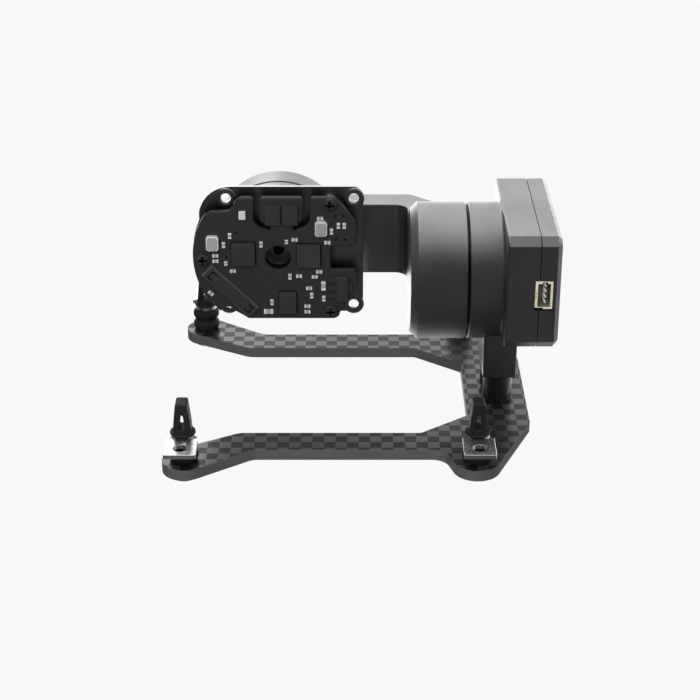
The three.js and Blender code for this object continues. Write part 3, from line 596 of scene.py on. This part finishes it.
def mounting_tab(side, end):
    """A bright steel tab: a small eye round the damper's neck and a flat land with an M2 hole."""
    node = f"mounting_tab_{side}_{end}"
    low, high = span(node)
    axis = middle(f"damper_{side}_{end}")
    sign = SIDES[side]
    half = (high.x - low.x) / 2
    far = high.y - axis.y if sign > 0 else low.y - axis.y
    hole_y = sign * TAB_HOLE_Y - axis.y
    land_from = sign * 1.8
    eye_radius = 2.05
    sweep = math.asin(abs(land_from) / eye_radius)
    eye = arc(0, 0, eye_radius, sign * sweep, -sign * (math.pi + sweep))
    foot = soften([
        (-half, land_from, 0.2), (-half, far, 0.3), (half, far, 0.3), (half, land_from, 0.2),
    ], closed=False)
    holes = [circle(0, 0, 1.55), circle(0, hole_y, TAB_HOLE)]
    shape = slab(shift(eye + foot, axis.x, axis.y), low.z, high.z,
                 holes=[shift(hole, axis.x, axis.y) for hole in holes], rim=0.1)
    piece(f"steel_{node}", shape, [STEEL], f"tab_{side}_{end}", "steel", node)


base_plate()
for side_name in SIDES:
    for end_name in ENDS:
        damper(side_name, end_name)
        mounting_tab(side_name, end_name)

# ---- screws ----


def screw(node, axis, out, body, slot, recess="cross"):
    """A pan-head screw in the place of its CAD node. `out` is the head's direction along the axis."""
    low, high = span(node)
    index = "XYZ".index(axis)
    across = (index + 1) % 3
    radius = (high[across] - low[across]) / 2
    centre = (low + high) / 2
    centre[index] = 0
    top = high[index] if out > 0 else low[index]
    height = radius * 0.52
    shank = radius * 0.52
    tip = low[index] if out > 0 else high[index]
    seat = top - out * height
    shape = lathe(soften([
        (tip, shank * 0.6, 0), (tip + out * 0.3, shank, 0.1), (seat, shank, 0.05), (seat, radius, 0.08),
        (top - out * height * 0.35, radius, height * 0.5), (top, radius * 0.62, height * 0.5),
        (top, radius * 0.3, 0),
    ], closed=False), axis, centre, sides=48)
    u, v = centre[across], centre[(index + 2) % 3]
    if axis == "Y":
        u, v = v, u
    depth = height * 1.3
    start, end = sorted((top - out * depth, top + out))
    if recess == "cross":
        long = radius * 0.66
        wide = radius * 0.17
        cutter = join(*[
            slab(box_outline(u - a, v - b, u + a, v + b, 0.02), start, end, axis, rim=0)
            for a, b in ((long, wide), (wide, long))
        ])
    else:
        cutter = slab(circle(u, v, radius * 0.5, 6), start, end, axis, rim=0)
    shape = cut(shape, cutter)
    lowest = (seat - out * height) * out
    axis_line = centre.copy()

    def in_recess(face):
        place = face.calc_center_median()
        axis_line[index] = place[index]
        return (place - axis_line).length < radius * 0.7 and lowest < place[index] * out < top * out - 0.03

    # the recess faces take near-black PITCH: painted shade, so the recess reads deep
    paint(shape, 1, in_recess)
    piece(f"fine_{node}", shape, [BLACK_STEEL, PITCH], body, slot, node)


for side_name in SIDES:
    screw(f"standoff_screw_{side_name}", "Z", -1, "base", "black_steel", "hex")
for number in range(1, 5):
    screw(f"cover_screw_{number}", "X", 1, "base", "black_steel")
for number in range(1, 4):
    screw(f"board_screw_{number}", "Y", -1, "roll", "black_steel")
    screw(f"plate_screw_{number}", "Y", -1, "roll", "black_steel")

# ---- tilt motor housing and electronics box ----

BOX = SimpleNamespace(left=26.65, seam=32.2, right=35.8, half_y=15.1, bottom=15.2, top=35.8, wall=1.2,
                      low_bevel=1.55, high_bevel=1.36, cap_bevel=0.75)
TILT = SimpleNamespace(face=10.65, edge=20.35, wall=1.0, housing=20.75, back=26.65, hollow=10.4)
TILT_CENTRE = (0, 0, TILT_Z)


def standoffs():
    for side in SIDES:
        low, high = span(f"standoff_{side}")
        radius = (high.x - low.x) / 2
        centre = middle(f"standoff_{side}")
        shape = lathe(soften([
            (low.z, POST_HOLE, 0), (low.z, radius, 0.2), (high.z, radius, 0.2), (high.z, POST_HOLE, 0),
        ]), "Z", (centre.x, centre.y, 0), closed=True)
        piece(f"fine_standoff_{side}", shape, [POLISHED_ALUMINIUM], "base", "dark_aluminium",
              f"standoff_{side}")


def box_face():
    """The box seen along X: a rectangle with broad bevels."""
    return chamfered(-BOX.half_y, BOX.bottom, BOX.half_y, BOX.top, BOX.low_bevel, BOX.high_bevel)


def box_hollow(start, end):
    """The room inside the box, with four solid corners for the cover screws."""
    y = BOX.half_y - BOX.wall
    low = BOX.bottom + BOX.wall
    high = BOX.top - BOX.wall
    corner = 3.2
    outline = []
    for sign_y, sign_z in ((-1, -1), (1, -1), (1, 1), (-1, 1)):
        edge_y = sign_y * y
        edge_z = low if sign_z < 0 else high
        along = (edge_y - sign_y * corner, edge_z)
        inner = (edge_y - sign_y * corner, edge_z - sign_z * corner)
        upright = (edge_y, edge_z - sign_z * corner)
        outline += [upright, inner, along] if sign_y == sign_z else [along, inner, upright]
    return slab(outline, start, end, "X", rim=0)


def connector_opening():
    low, high = span("power_connector")
    gap = 0.12
    return block(low.x - gap, low.z - gap - 0.15, high.x + gap, high.z + gap, low.y - 2, high.y + 0.3, 0.1,
                 rim=0)


def tilt_housing():
    shell = slab(box_face(), BOX.left, BOX.seam - 0.05, "X", rims=(0.3, 0.05))
    leg_outline = box_outline(23.8, -7.5, 29.7, 7.5, 0.35)
    leg = slab(leg_outline, span("tilt_housing")[0].z, BOX.bottom + 2, rims=(0.25, 0))
    barrel = lathe(soften([
        (TILT.housing, 3.2, 0), (TILT.housing, MOTOR_RADIUS, 0.3), (TILT.back + 1, MOTOR_RADIUS, 0),
        (TILT.back + 1, 3.2, 0),
    ]), "X", TILT_CENTRE, closed=True, sides=MOTOR_SIDES)
    fillet = 0.55
    quarter = arc(TILT.back - fillet, MOTOR_RADIUS + fillet, fillet, -math.pi / 2, 0, 40)
    collar = lathe([(TILT.back - fillet, 11), *quarter, (TILT.back + 0.5, MOTOR_RADIUS + fillet),
                    (TILT.back + 0.5, 11)], "X", TILT_CENTRE, closed=True, sides=MOTOR_SIDES)
    trim = slab(inset(box_face(), 0.01), TILT.back - 2, BOX.seam - 1, "X", rim=0)
    collar = boolean(collar, [trim], "INTERSECT")
    motor_room = lathe([
        (TILT.housing + 1.6, 1.3), (TILT.housing + 1.6, TILT.hollow),
        (TILT.back + BOX.wall + 1, TILT.hollow), (TILT.back + BOX.wall + 1, 1.3),
    ], "X", TILT_CENTRE, sides=64)
    shape = join(shell, leg, barrel, collar)
    shape = cut(shape, motor_room, box_hollow(BOX.left + BOX.wall, BOX.seam + 1), connector_opening())
    piece("fine_tilt_housing", shape, [ALUMINIUM], "base", "aluminium", "tilt_housing")


def electronics_cover():
    shape = slab(box_face(), BOX.seam + 0.05, BOX.right, "X", rims=(0.05, BOX.cap_bevel), steps=1)
    cutters = [box_hollow(BOX.seam - 1, BOX.right - BOX.wall), connector_opening()]
    for number in range(1, 5):
        place = middle(f"cover_screw_{number}")
        cutters.append(slab(circle(place.y, place.z, 1.5), BOX.right - 0.9, BOX.right + 1, "X", rim=0))
    piece("fine_cover", cut(shape, *cutters), [ALUMINIUM], "base", "aluminium", "electronics_cover")


def power_connector():
    """A shrouded four-way socket: nylon shell with a key notch, and tinned contacts inside. The faces inside
    its mouth are a darker nylon: painted shade.
    """
    low, high = span("power_connector")
    wall = 0.42
    front = low.y - 1
    room = block(low.x + wall, low.z + wall, high.x - wall, high.z - wall, front, high.y - 1, 0.12, rim=0)
    key = block(low.x + 1.2, high.z - wall - 0.35, low.x + 2.1, high.z - 0.12, front, low.y + 2, 0.1, rim=0)
    corner = block(low.x - 1, low.z - 1, low.x + 1.4, low.z + 0.3, front, low.y + 1, rim=0)
    latch = block(low.x - 1, low.z + 2.2, low.x + 0.2, low.z + 3.2, front, low.y + 0.5, rim=0)
    outside = block(low.x, low.z, high.x, high.z, low.y, high.y - 0.05, 0.1, rim=0.07)
    shell = cut(outside, room, key, corner, latch)

    def inside(face):
        place = face.calc_center_median()
        across = low.x + wall - 0.05 < place.x < high.x - wall + 0.05
        return across and low.z + wall - 0.05 < place.z < high.z - wall + 0.05 and place.y > low.y + 0.3

    # the faces inside the mouth take the darker nylon: painted shade
    paint(shell, 1, inside)
    piece("connector_shell", shell, [NYLON, SHADED_NYLON], "base", "connector", "power_connector")
    contact = box_outline(-0.17, -0.38, 0.17, 0.38, 0.08)
    slant = 28                 # degrees
    contacts = []
    for number in range(4):
        outline = shift(contact, low.x + 1.75, low.z + 1.05 + number, slant)
        contacts.append(slab(outline, low.y + 0.9, high.y - 0.9, "Y", rims=(0.1, 0)))
    piece("connector_contacts", merged(contacts), [SOLDER], "base", "component")


standoffs()
tilt_housing()
electronics_cover()
power_connector()

# ---- tilt arm: motor bell, arm and roll motor cup in one piece ----

CUP = SimpleNamespace(front=13.1, back=19.7, floor=16.6, wall=1.05, pocket=8.5)
ARM = SimpleNamespace(front=14.3, back=19.7, half_z=6.8, fillet=2.3)
ROLL_CENTRE = (ROLL_X, 0, ROLL_Z)


def tilt_arm():
    chamfer = 1.25
    web = TILT.face + 1.45
    hub = TILT.face + 2.4
    bell = lathe(soften([
        (TILT.face, 1.02, 0), (TILT.face, MOTOR_RADIUS - chamfer, 0.15),
        (TILT.face + chamfer, MOTOR_RADIUS, 0.15), (TILT.edge, MOTOR_RADIUS, 0.12),
        (TILT.edge, MOTOR_RADIUS - TILT.wall, 0.05), (web, MOTOR_RADIUS - TILT.wall, 0.3), (web, 2.2, 0.1),
        (hub, 2.2, 0.1), (hub, 1.02, 0),
    ]), "X", TILT_CENTRE, closed=True, sides=MOTOR_SIDES)
    cone = 1.5
    recess = CUP.back - 0.75
    disc = lathe(soften([
        (CUP.front, 1.3, 0), (CUP.front, ROLL_RADIUS, 0.25), (CUP.back - cone, ROLL_RADIUS, 0.15),
        (CUP.back, ROLL_RADIUS - cone, 0.15), (CUP.back, CUP.pocket, 0.1), (recess, CUP.pocket, 0),
        (recess, 1.3, 0),
    ]), "Y", ROLL_CENTRE, closed=True, sides=MOTOR_SIDES)
    outline = belt([
        (ROLL_X + 4, ARM.front, 0), (TILT.face - ARM.fillet, ARM.front - ARM.fillet, -ARM.fillet),
        (TILT.face, 8.5, 0), (20.2, 8.5, 0), (20.2, MOTOR_RADIUS - 0.2, 0), (10.6, ARM.back - 2, 2),
        (ROLL_X + 4, ARM.back, 0),
    ])
    bar = slab(outline, TILT_Z - ARM.half_z, TILT_Z + ARM.half_z, rim=0.2)
    bell_room = lathe([(web, 11), (TILT.edge + 1, 11)], "X", TILT_CENTRE)
    cup_inner = ROLL_RADIUS - CUP.wall
    cup_room = lathe([(CUP.front - 1, cup_inner), (CUP.floor, cup_inner)], "Y", ROLL_CENTRE)
    rear_inner = CUP.pocket - 0.1
    rear_room = lathe([(CUP.back - 0.74, rear_inner), (CUP.back + 1, rear_inner)], "Y", ROLL_CENTRE)
    shape = join(cut(join(cut(bar, bell_room), disc), cup_room, rear_room), bell)
    piece("fine_tilt_arm", shape, [ALUMINIUM], "tilt", "aluminium", "tilt_arm")


def rear_cap():
    """The lid over the roll motor's angle sensor, with a shallow turned recess and three spanner holes."""
    low, high = span("roll_rear_cap")
    radius = (high.x - low.x) / 2
    shape = lathe(soften([
        (low.y, 1.0, 0), (low.y, radius, 0), (high.y, radius, 0.15), (high.y, radius - 1.4, 0.05),
        (high.y - 0.2, radius - 1.6, 0.05), (high.y - 0.2, 2.6, 0.05), (high.y - 0.35, 2.4, 0.05),
        (high.y - 0.35, 0.5, 0),
    ], closed=False), "Y", ROLL_CENTRE)
    cutters = []
    for turn in range(3):
        angle = math.radians(90 + 120 * turn)
        hole = circle(ROLL_X + 4.6 * math.cos(angle), ROLL_Z + 4.6 * math.sin(angle), 0.6, 24)
        cutters.append(slab(hole, high.y - 0.45, high.y + 1, "Y", rim=0))
    piece("fine_rear_cap", cut(shape, *cutters), [DARK_ALUMINIUM], "tilt", "dark_aluminium", "roll_rear_cap")


def roll_bell():
    front = span("roll_rotor_bell")[0].y
    edge = front + 3.25
    shape = lathe(soften([
        (front, 1.02, 0), (front, ROLL_RADIUS, 0.3), (edge, ROLL_RADIUS, 0.2), (edge, 10.55, 0),
        (16.2, 10.55, 0.1), (16.2, 9.9, 0.1), (front + 1.2, 9.9, 0.2), (front + 1.2, 2.2, 0),
        (front + 1.75, 2.2, 0), (front + 1.75, 1.02, 0),
    ]), "Y", ROLL_CENTRE, closed=True, sides=MOTOR_SIDES)
    piece("fine_roll_bell", shape, [ALUMINIUM], "roll", "aluminium", "roll_rotor_bell")


tilt_arm()
rear_cap()
roll_bell()

# ---- camera plate and its board: places are (x, z) from the roll axis ----

PLATE = SimpleNamespace(radius=15.5, top=12.5, right=15.4, bottom=-12.0, corner=2, left_corner=5.9,
                        left_corner_x=-8.4, face=8.5, pad=1.9, boss=1.2, hole=0.9)
PLATE_HOLES = [(x, z) for x in (-9.3, 13.66) for z in (-10.4, 10.4)]
PCB = SimpleNamespace(radius=15.4, top=11.5, bottom=-12.2, right=14.05, hole=2.3, hole_z=-0.2)


def on_roll(outline):
    return shift(outline, ROLL_X, ROLL_Z)


def camera_plate():
    low, high = span("camera_plate")
    end = 2 * math.pi - math.acos(-9.8 / PLATE.radius)
    left_z = PLATE.top - PLATE.left_corner
    right_x = PLATE.right - PLATE.corner
    outline = [
        *arc(PLATE.left_corner_x, left_z, PLATE.left_corner, math.pi / 2, math.pi * 0.95),
        *arc(0, 0, PLATE.radius, math.pi * 0.87, end),
        *arc(right_x, PLATE.bottom + PLATE.corner, PLATE.corner, -math.pi / 2, 0),
        *arc(right_x, PLATE.top - PLATE.corner, PLATE.corner, 0, math.pi / 2),
    ]
    holes = [circle(x, z, PLATE.hole) for x, z in PLATE_HOLES] + [circle(0, PCB.hole_z, PCB.hole, 64)]
    plate = slab(on_roll(outline), PLATE.face, high.y, "Y", [on_roll(hole) for hole in holes], rim=0.1)
    # the plate's edge faces take the paler aluminium: painted highlight
    paint(plate, 1, lambda face: abs(face.normal.y) < 0.3)
    pads = []
    for x, z in PLATE_HOLES:
        pads.append(slab(on_roll(circle(x, z, PLATE.pad)), low.y + 1.35, high.y - 0.3, "Y",
                         [on_roll(circle(x, z, PLATE.hole))], rims=(0.3, 0)))
    bosses = []
    for number in range(1, 4):
        place = middle(f"board_screw_{number}")
        bosses.append(slab(circle(place.x, place.z, PLATE.boss), low.y, high.y - 0.3, "Y", rims=(0.15, 0)))
    shape = join(plate, *pads, *bosses)
    piece("fine_camera_plate", shape, [ALUMINIUM, HIGHLIGHT_ALUMINIUM], "roll", "dark_aluminium", "camera_plate")


def board_outline():
    top, bottom, right, radius = PCB.top, PCB.bottom, PCB.right, PCB.radius
    half = math.pi / 2
    return [
        *arc(0, 0, radius, math.acos(right / radius), math.asin(top / radius)),
        *arc(6.45, top - 0.7, 0.7, half, math.pi),                        # right ear
        *arc(3.6, 7.6, 2.15, 0, -half),                                   # right slot
        *arc(3.1, 5.45, 0.35, -half, -3 * half, 24),
        *arc(3.3, 7.6, 1.2, -half, 0),
        *arc(4.0, top - 0.7, 0.7, 0, half),                               # tongue
        *arc(-2.5, top - 0.7, 0.7, half, math.pi),
        *arc(-2.0, 7.6, 1.2, math.pi, 3 * half),
        *arc(-1.6, 5.45, 0.35, half, -half, 24),
        *arc(-2.1, 7.6, 2.15, 3 * half, math.pi),                         # left slot
        *arc(-4.85, top - 0.7, 0.7, 0, half),                             # left ear
        *arc(-6.05, top - 1.75, 1.75, half, math.pi * 0.9),
        *arc(-9.3, 10.35, 1.5, -0.12, -half),                             # round the upper left hole
        *arc(-11.6, 7.65, 1.2, half, math.pi * 0.82),
        *arc(0, 0, radius, math.acos(-12.95 / radius), 2 * math.pi - math.acos(-12.9 / radius)),
        *arc(-9.3, -11.4, 1.55, math.pi * 0.86, math.pi * 0.14),          # over the lower left hole
        *arc(-5.4, bottom + 0.8, 0.8, math.pi * 1.2, 3 * half),
        *arc(9.8, bottom + 1.5, 1.5, 3 * half, math.pi * 1.8),
        *arc(13.66, -10.4, 2.2, math.pi * 0.95, half),                    # round the lower right hole
        *arc(right - 0.5, -7.6, 0.5, -half / 2, 0),
        *arc(right - 0.7, -3.1, 0.7, 0, half),
        *arc(9.9, -2.0, 0.4, 3 * half, math.pi),                          # notch at the right
        *arc(9.9, 1.7, 0.4, math.pi, half),
        *arc(right - 0.7, 2.8, 0.7, -half, 0),
    ]


def camera_board():
    low, high = span("camera_board")
    holes = [on_roll(circle(0, PCB.hole_z, PCB.hole, 64))]
    for number in range(1, 4):
        place = middle(f"board_screw_{number}")
        holes.append(circle(place.x, place.z, 0.75, 24))
    shape = slab(on_roll(board_outline()), low.y, high.y, "Y", holes, rims=(0.3, 0.1), steps=4)
    piece("fine_camera_board", shape, [BOARD], "roll", "board", "camera_board")


def chip_leads(node, count):
    """The dark contacts that show along the four edges of a leadless chip."""
    low, high = span(node)
    reach = 0.14
    leads = []
    for edge, upright in ((low.x, True), (high.x, True), (high.z, False), (low.z, False)):
        start, end = (low.z, high.z) if upright else (low.x, high.x)
        pitch = (end - start) / count
        half = pitch * 0.28
        for number in range(count):
            along = start + (number + 0.5) * pitch
            outline = box_outline(edge - reach, along - half, edge + reach, along + half)
            if not upright:
                outline = box_outline(along - half, edge - reach, along + half, edge + reach)
            leads.append(slab(outline, high.y - 0.35, high.y - 0.02, "Y", rim=0.02, steps=1))
    return leads


def chip(node, count):
    low, high = span(node)
    body = block(low.x, low.z, high.x, high.z, low.y, high.y, 0.08, rims=(0.07, 0.02), steps=2)
    piece(f"fine_{node}", body, [EPOXY], "roll", "chip", node)
    if count:
        piece(f"{node}_contacts", merged(chip_leads(node, count)), [PITCH], "roll", "chip")


def inductor(node):
    """A moulded power inductor: a tinned block with cut corners and a raised ceramic lid."""
    low, high = span(node)
    cut_off = 0.34
    edge = 0.2
    outline = chamfered(low.x, low.z, high.x, high.z, cut_off, cut_off)
    body = slab(outline, low.y + 0.15, high.y, "Y", rim=0.08)
    lid_outline = chamfered(low.x + edge, low.z + edge, high.x - edge, high.z - edge, cut_off, cut_off)
    lid = slab(lid_outline, low.y, low.y + 0.5, "Y", rims=(0.08, 0))
    paint(body, 1, lambda face: True)
    piece(f"fine_{node}", merged([body, lid]), [CERAMIC, SOLDER], "roll", "component", node)


def crystal():
    """A metal-can crystal on a wider black base."""
    low, high = span("crystal")
    can = block(low.x + 0.1, low.z, high.x - 0.1, high.z - 0.25, low.y, high.y - 0.2, 0.15, rims=(0.1, 0))
    piece("crystal_can", can, [SOLDER], "roll", "component", "crystal")
    base = block(low.x - 0.35, high.z - 0.3, high.x + 0.35, high.z + 0.05, high.y - 0.45, high.y, 0.08,
                 rim=0.05)
    piece("crystal_base", base, [BLACK_PLASTIC], "roll", "black_plastic")


def voltage_regulator():
    """Three legs on the left and a broad tab with a rounded end on the right."""
    low, high = span("voltage_regulator")
    centre_z = (low.z + high.z) / 2
    body = block(low.x, low.z, high.x, high.z, low.y, high.y - 0.15, 0.2, rims=(0.18, 0.05))
    piece("regulator_body", body, [BLACK_PLASTIC], "roll", "black_plastic", "voltage_regulator")
    pitch = 1.62
    half = 0.42
    front = high.y - 0.55
    legs = []
    for row in (-1, 0, 1):
        z = centre_z + row * pitch
        legs.append(block(low.x - 1.5, z - half, low.x + 0.1, z + half, front, high.y, 0.15, rims=(0.12, 0)))
    tab = soften([
        (high.x - 0.1, centre_z - 1.0, 0), (high.x + 0.95, centre_z - 1.0, 0.55),
        (high.x + 0.95, centre_z + 1.0, 0.55), (high.x - 0.1, centre_z + 1.0, 0),
    ])
    legs.append(slab(tab, front, high.y, "Y", rims=(0.12, 0)))
    piece("regulator_legs", merged(legs), [BLACK_STEEL], "roll", "black_plastic")


def flex_connector():
    """A flat-cable socket across the board's lower left corner, with a raised lid inside its rim."""
    low, high = span("flex_connector")
    centre = middle("flex_connector")
    half_l = 11.8 / 2
    half_w = 2.65 / 2
    degrees = -45

    def turned(outline):
        return shift(outline, centre.x, centre.z, degrees)

    body = slab(turned(box_outline(-half_l, -half_w, half_l, half_w, 0.12)), low.y + 0.12, high.y, "Y",
                rims=(0.1, 0.02))
    edge = 0.13
    lid_outline = box_outline(-half_l + edge, -half_w + edge, half_l - edge, half_w - edge, 0.1)
    lid = slab(turned(lid_outline), low.y, low.y + 0.6, "Y", rims=(0.06, 0))
    paint(body, 1, lambda face: True)
    piece("fine_flex_connector", merged([body, lid]), [BLACK_PLASTIC, MOULDED_EDGE], "roll", "black_plastic",
          "flex_connector")
    # black L brackets at the corners, drawn heavy in near-black PITCH so that they also stand for the shadow
    # line at the connector's edge: partly real brackets, partly painted shadow
    brackets = []
    thick = 0.24
    for sign in (-1, 1):
        end = sign * (half_l - 0.75)
        for side in (-1, 1):
            edge = side * (half_w - 0.55)
            inner_end = end - sign * thick
            inner_edge = edge - side * thick
            arm_x = end - sign * 1.2
            leg_z = edge - side * 0.75
            outline = [
                (end, edge), (arm_x, edge), (arm_x, inner_edge), (inner_end, inner_edge), (inner_end, leg_z),
                (end, leg_z),
            ]
            brackets.append(slab(turned(outline), low.y - 0.02, low.y + 0.2, "Y", rim=0.02, steps=1))
    piece("flex_connector_brackets_and_shadow", merged(brackets), [PITCH], "roll", "black_plastic")


SIZES = {                      # chip capacitors and resistors: width, height
    "upright": (0.62, 1.06), "flat": (1.08, 0.64), "stub": (0.62, 0.75), "tall": (0.85, 1.73),
    "wide": (1.7, 0.9),
}
SMALL_PARTS = [
    (-8.6, 4.25, "upright"), (-9.75, 2.5, "upright"), (-3.0, 2.6, "upright"), (1.55, 3.1, "stub"),
    (3.05, 3.5, "flat"), (7.65, 7.6, "flat"), (9.65, 5.1, "upright"), (10.9, 6.2, "upright"),
    (11.95, 6.2, "upright"), (8.9, 2.95, "flat"), (-11.3, 0.4, "flat"), (-11.3, -0.65, "flat"),
    (-9.45, -1.1, "stub"), (-8.2, -2.6, "flat"), (2.1, -3.7, "upright"), (3.75, -3.6, "flat"),
    (6.6, -3.75, "flat"), (7.4, -2.75, "flat"), (8.15, -5.55, "tall"), (5.55, -6.0, "flat"),
    (6.0, -7.45, "upright"), (8.2, -8.05, "upright"), (5.2, -9.6, "flat"), (5.2, -10.7, "flat"),
    (-1.25, -8.8, "upright"), (-1.9, -10.65, "wide"),
]
VIAS = [(10.4, 8.0), (11.8, 8.0), (10.5, 3.45), (12.1, 3.45), (-7.4, 4.8), (-9.3, 0.0)]


def small_part(x, z, kind, degrees=0.0):
    """A ceramic block with a tinned cap at each end; both caps are faces of the second material."""
    width, height = SIZES[kind]
    seat = span("camera_board")[0].y - 0.01
    outer = seat - 0.34
    wide = width >= height
    length = width if wide else height
    cap_length = length * 0.27

    def placed(outline, start, rim):
        return slab(shift(outline, ROLL_X + x, ROLL_Z + z, degrees), start, seat, "Y", rim=rim)

    blocks = []
    for sign in (-1, 1):
        low, high = sorted((sign * (length / 2 - cap_length), sign * length / 2))
        outline = box_outline(low, -height / 2, high, height / 2, 0.06)
        if not wide:
            outline = box_outline(-width / 2, low, width / 2, high, 0.06)
        end = placed(outline, outer, 0.04)
        paint(end, 1, lambda face: True)
        blocks.append(end)
    half = length / 2 - cap_length + 0.001
    outline = box_outline(-half, -height / 2 + 0.02, half, height / 2 - 0.02)
    if not wide:
        outline = box_outline(-width / 2 + 0.02, -half, width / 2 - 0.02, half)
    blocks.append(placed(outline, outer + 0.03, 0.02))
    return blocks


def board_dressing():
    """The small parts, and near-black discs for the via holes beside them (painted shade), which the CAD
    leaves out.
    """
    blocks = []
    for x, z, kind in SMALL_PARTS:
        blocks += small_part(x, z, kind)
    blocks += small_part(-12.35, -7.0, "flat", -42)
    piece("board_small_parts", merged(blocks), [CERAMIC, SOLDER], "roll", "component")
    front = span("camera_board")[0].y
    # solid near-black discs in place of the via holes: painted shade
    vias = [slab(on_roll(circle(x, z, 0.24, 20)), front - 0.02, front + 0.05, "Y", rim=0.01, steps=1)
            for x, z in VIAS]
    piece("board_vias", merged(vias), [PITCH], "roll", "board")


camera_plate()
camera_board()
chip("driver_chip_left", 12)
chip("driver_chip_right", 12)
chip("driver_chip_lower", 9)
chip("gyro_chip_left", 0)
chip("gyro_chip_right", 0)
inductor("inductor_left")
inductor("inductor_right")
crystal()
voltage_regulator()
flex_connector()
board_dressing()

# ---- CAD nodes that stay, with their materials ----

KEPT = {
    "controller_board": BOARD, "controller_chip": EPOXY, "tilt_angle_sensor": EPOXY,
    "tilt_stator_core": LAMINATIONS, "tilt_windings": COPPER, "tilt_bearing_outer": NICKEL,
    "tilt_bearing_inner": NICKEL, "tilt_magnet_ring": NICKEL, "tilt_shaft": STEEL,
    "tilt_encoder_magnet": NICKEL, "roll_stator_core": LAMINATIONS, "roll_windings": COPPER,
    "roll_bearing_front": NICKEL, "roll_bearing_rear": NICKEL, "roll_encoder_board": BOARD,
    # the steel roll shaft takes near-black PITCH: painted shade, so the bore of the roll bell reads dark
    "roll_magnet_ring": NICKEL, "roll_shaft": PITCH, "roll_encoder_magnet": NICKEL,
}
for node_name, kept_material in KEPT.items():
    for material_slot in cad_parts[node_name].material_slots:
        material_slot.material = kept_material

# ---- studio: pale floor, soft light from above and behind, camera ----

PALE = 0.94                    # the floor and the backdrop
STUDIO_STRENGTH = 2.6
GLOW_STRENGTH = 2.4
CAMERA_BACK = 0.27934          # metres
CAMERA_UP = 0.1453
CAMERA_DOWN = 26.2             # degrees


def floor():
    shape = bmesh.new()
    bmesh.ops.create_circle(shape, cap_ends=True, segments=96, radius=3000)
    mesh = bpy.data.meshes.new("floor")
    shape.to_mesh(mesh)
    shape.free()
    mesh.transform(Matrix.Scale(MM, 4))
    material = bpy.data.materials.new("pale_floor")
    material.use_nodes = True
    tree = material.node_tree
    glow = add(tree, "Emission", {"Color": (PALE, PALE, PALE, 1), "Strength": 1.0})
    tree.links.new(glow.outputs[0], tree.nodes["Material Output"].inputs["Surface"])
    mesh.materials.append(material)
    made = put("floor", mesh)
    made.visible_diffuse = False
    made.visible_glossy = False


def studio_light():
    """A world that is dark in front and bright above and behind, brightest low down at the back."""
    world = bpy.data.worlds.new("studio")
    bpy.context.scene.world = world
    world.use_nodes = True
    tree = world.node_tree
    direction = add(tree, "TexCoord").outputs["Generated"]
    parts = add(tree, "SeparateXYZ", {0: direction}).outputs
    back = maths(tree, "MULTIPLY_ADD", parts["Z"], 0.4, parts["Y"])
    depth = ramp(tree, remap(tree, back, -1.1, 1.1), [
        (0.02, 0.06), (0.27, 0.07), (0.36, 0.12), (0.46, 0.34), (0.62, 0.56), (0.82, 0.85), (0.96, 0.95),
    ])
    side = ramp(tree, remap(tree, parts["X"], -0.5, 0.5), [
        (0.0, 0.15), (0.1, 0.4), (0.2, 1.0), (0.4, 1.0), (0.5, 0.5), (0.8, 0.5),
    ])
    level = maths(tree, "MULTIPLY", maths(tree, "MULTIPLY", depth, side), STUDIO_STRENGTH)
    low = remap(tree, parts["Z"], 0.12, -0.08)
    far = remap(tree, parts["Y"], 0.72, 0.88)
    glow = maths(tree, "MULTIPLY", low, far)
    strength = maths(tree, "MULTIPLY_ADD", glow, GLOW_STRENGTH, level)
    lit = add(tree, "Background", {"Strength": strength}).outputs[0]
    pale = add(tree, "Background", {"Color": (PALE, PALE, PALE, 1)}).outputs[0]
    seen = add(tree, "LightPath").outputs["Is Camera Ray"]
    mixed = add(tree, "MixShader", {0: seen, 1: lit, 2: pale}).outputs[0]
    tree.links.new(mixed, tree.nodes["World Output"].inputs["Surface"])


def front_fill():
    """A weak soft light from the front that leaves no highlights."""
    place = Vector((-0.1, -0.45, 0.3))
    light = bpy.data.lights.new("front_fill", "AREA")
    light.size = 0.4
    light.energy = 3.6
    made = put("front_fill", light)
    made.location = place
    made.rotation_euler = (Vector((0, 0, 0.02)) - place).to_track_quat("-Z", "Y").to_euler()
    made.visible_glossy = False
    made.visible_camera = False


def camera():
    data = bpy.data.cameras.new("camera")
    data.lens = 88.2
    data.sensor_width = 36
    data.shift_x = 0.0014
    made = put("camera", data)
    made.location = (ORIGIN.x, -CAMERA_BACK, ORIGIN.z + CAMERA_UP)
    made.rotation_euler = (math.radians(90 - CAMERA_DOWN), 0, 0)
    bpy.context.scene.camera = made


floor()
studio_light()
front_fill()
camera()
bpy.context.scene.view_settings.view_transform = "Standard"
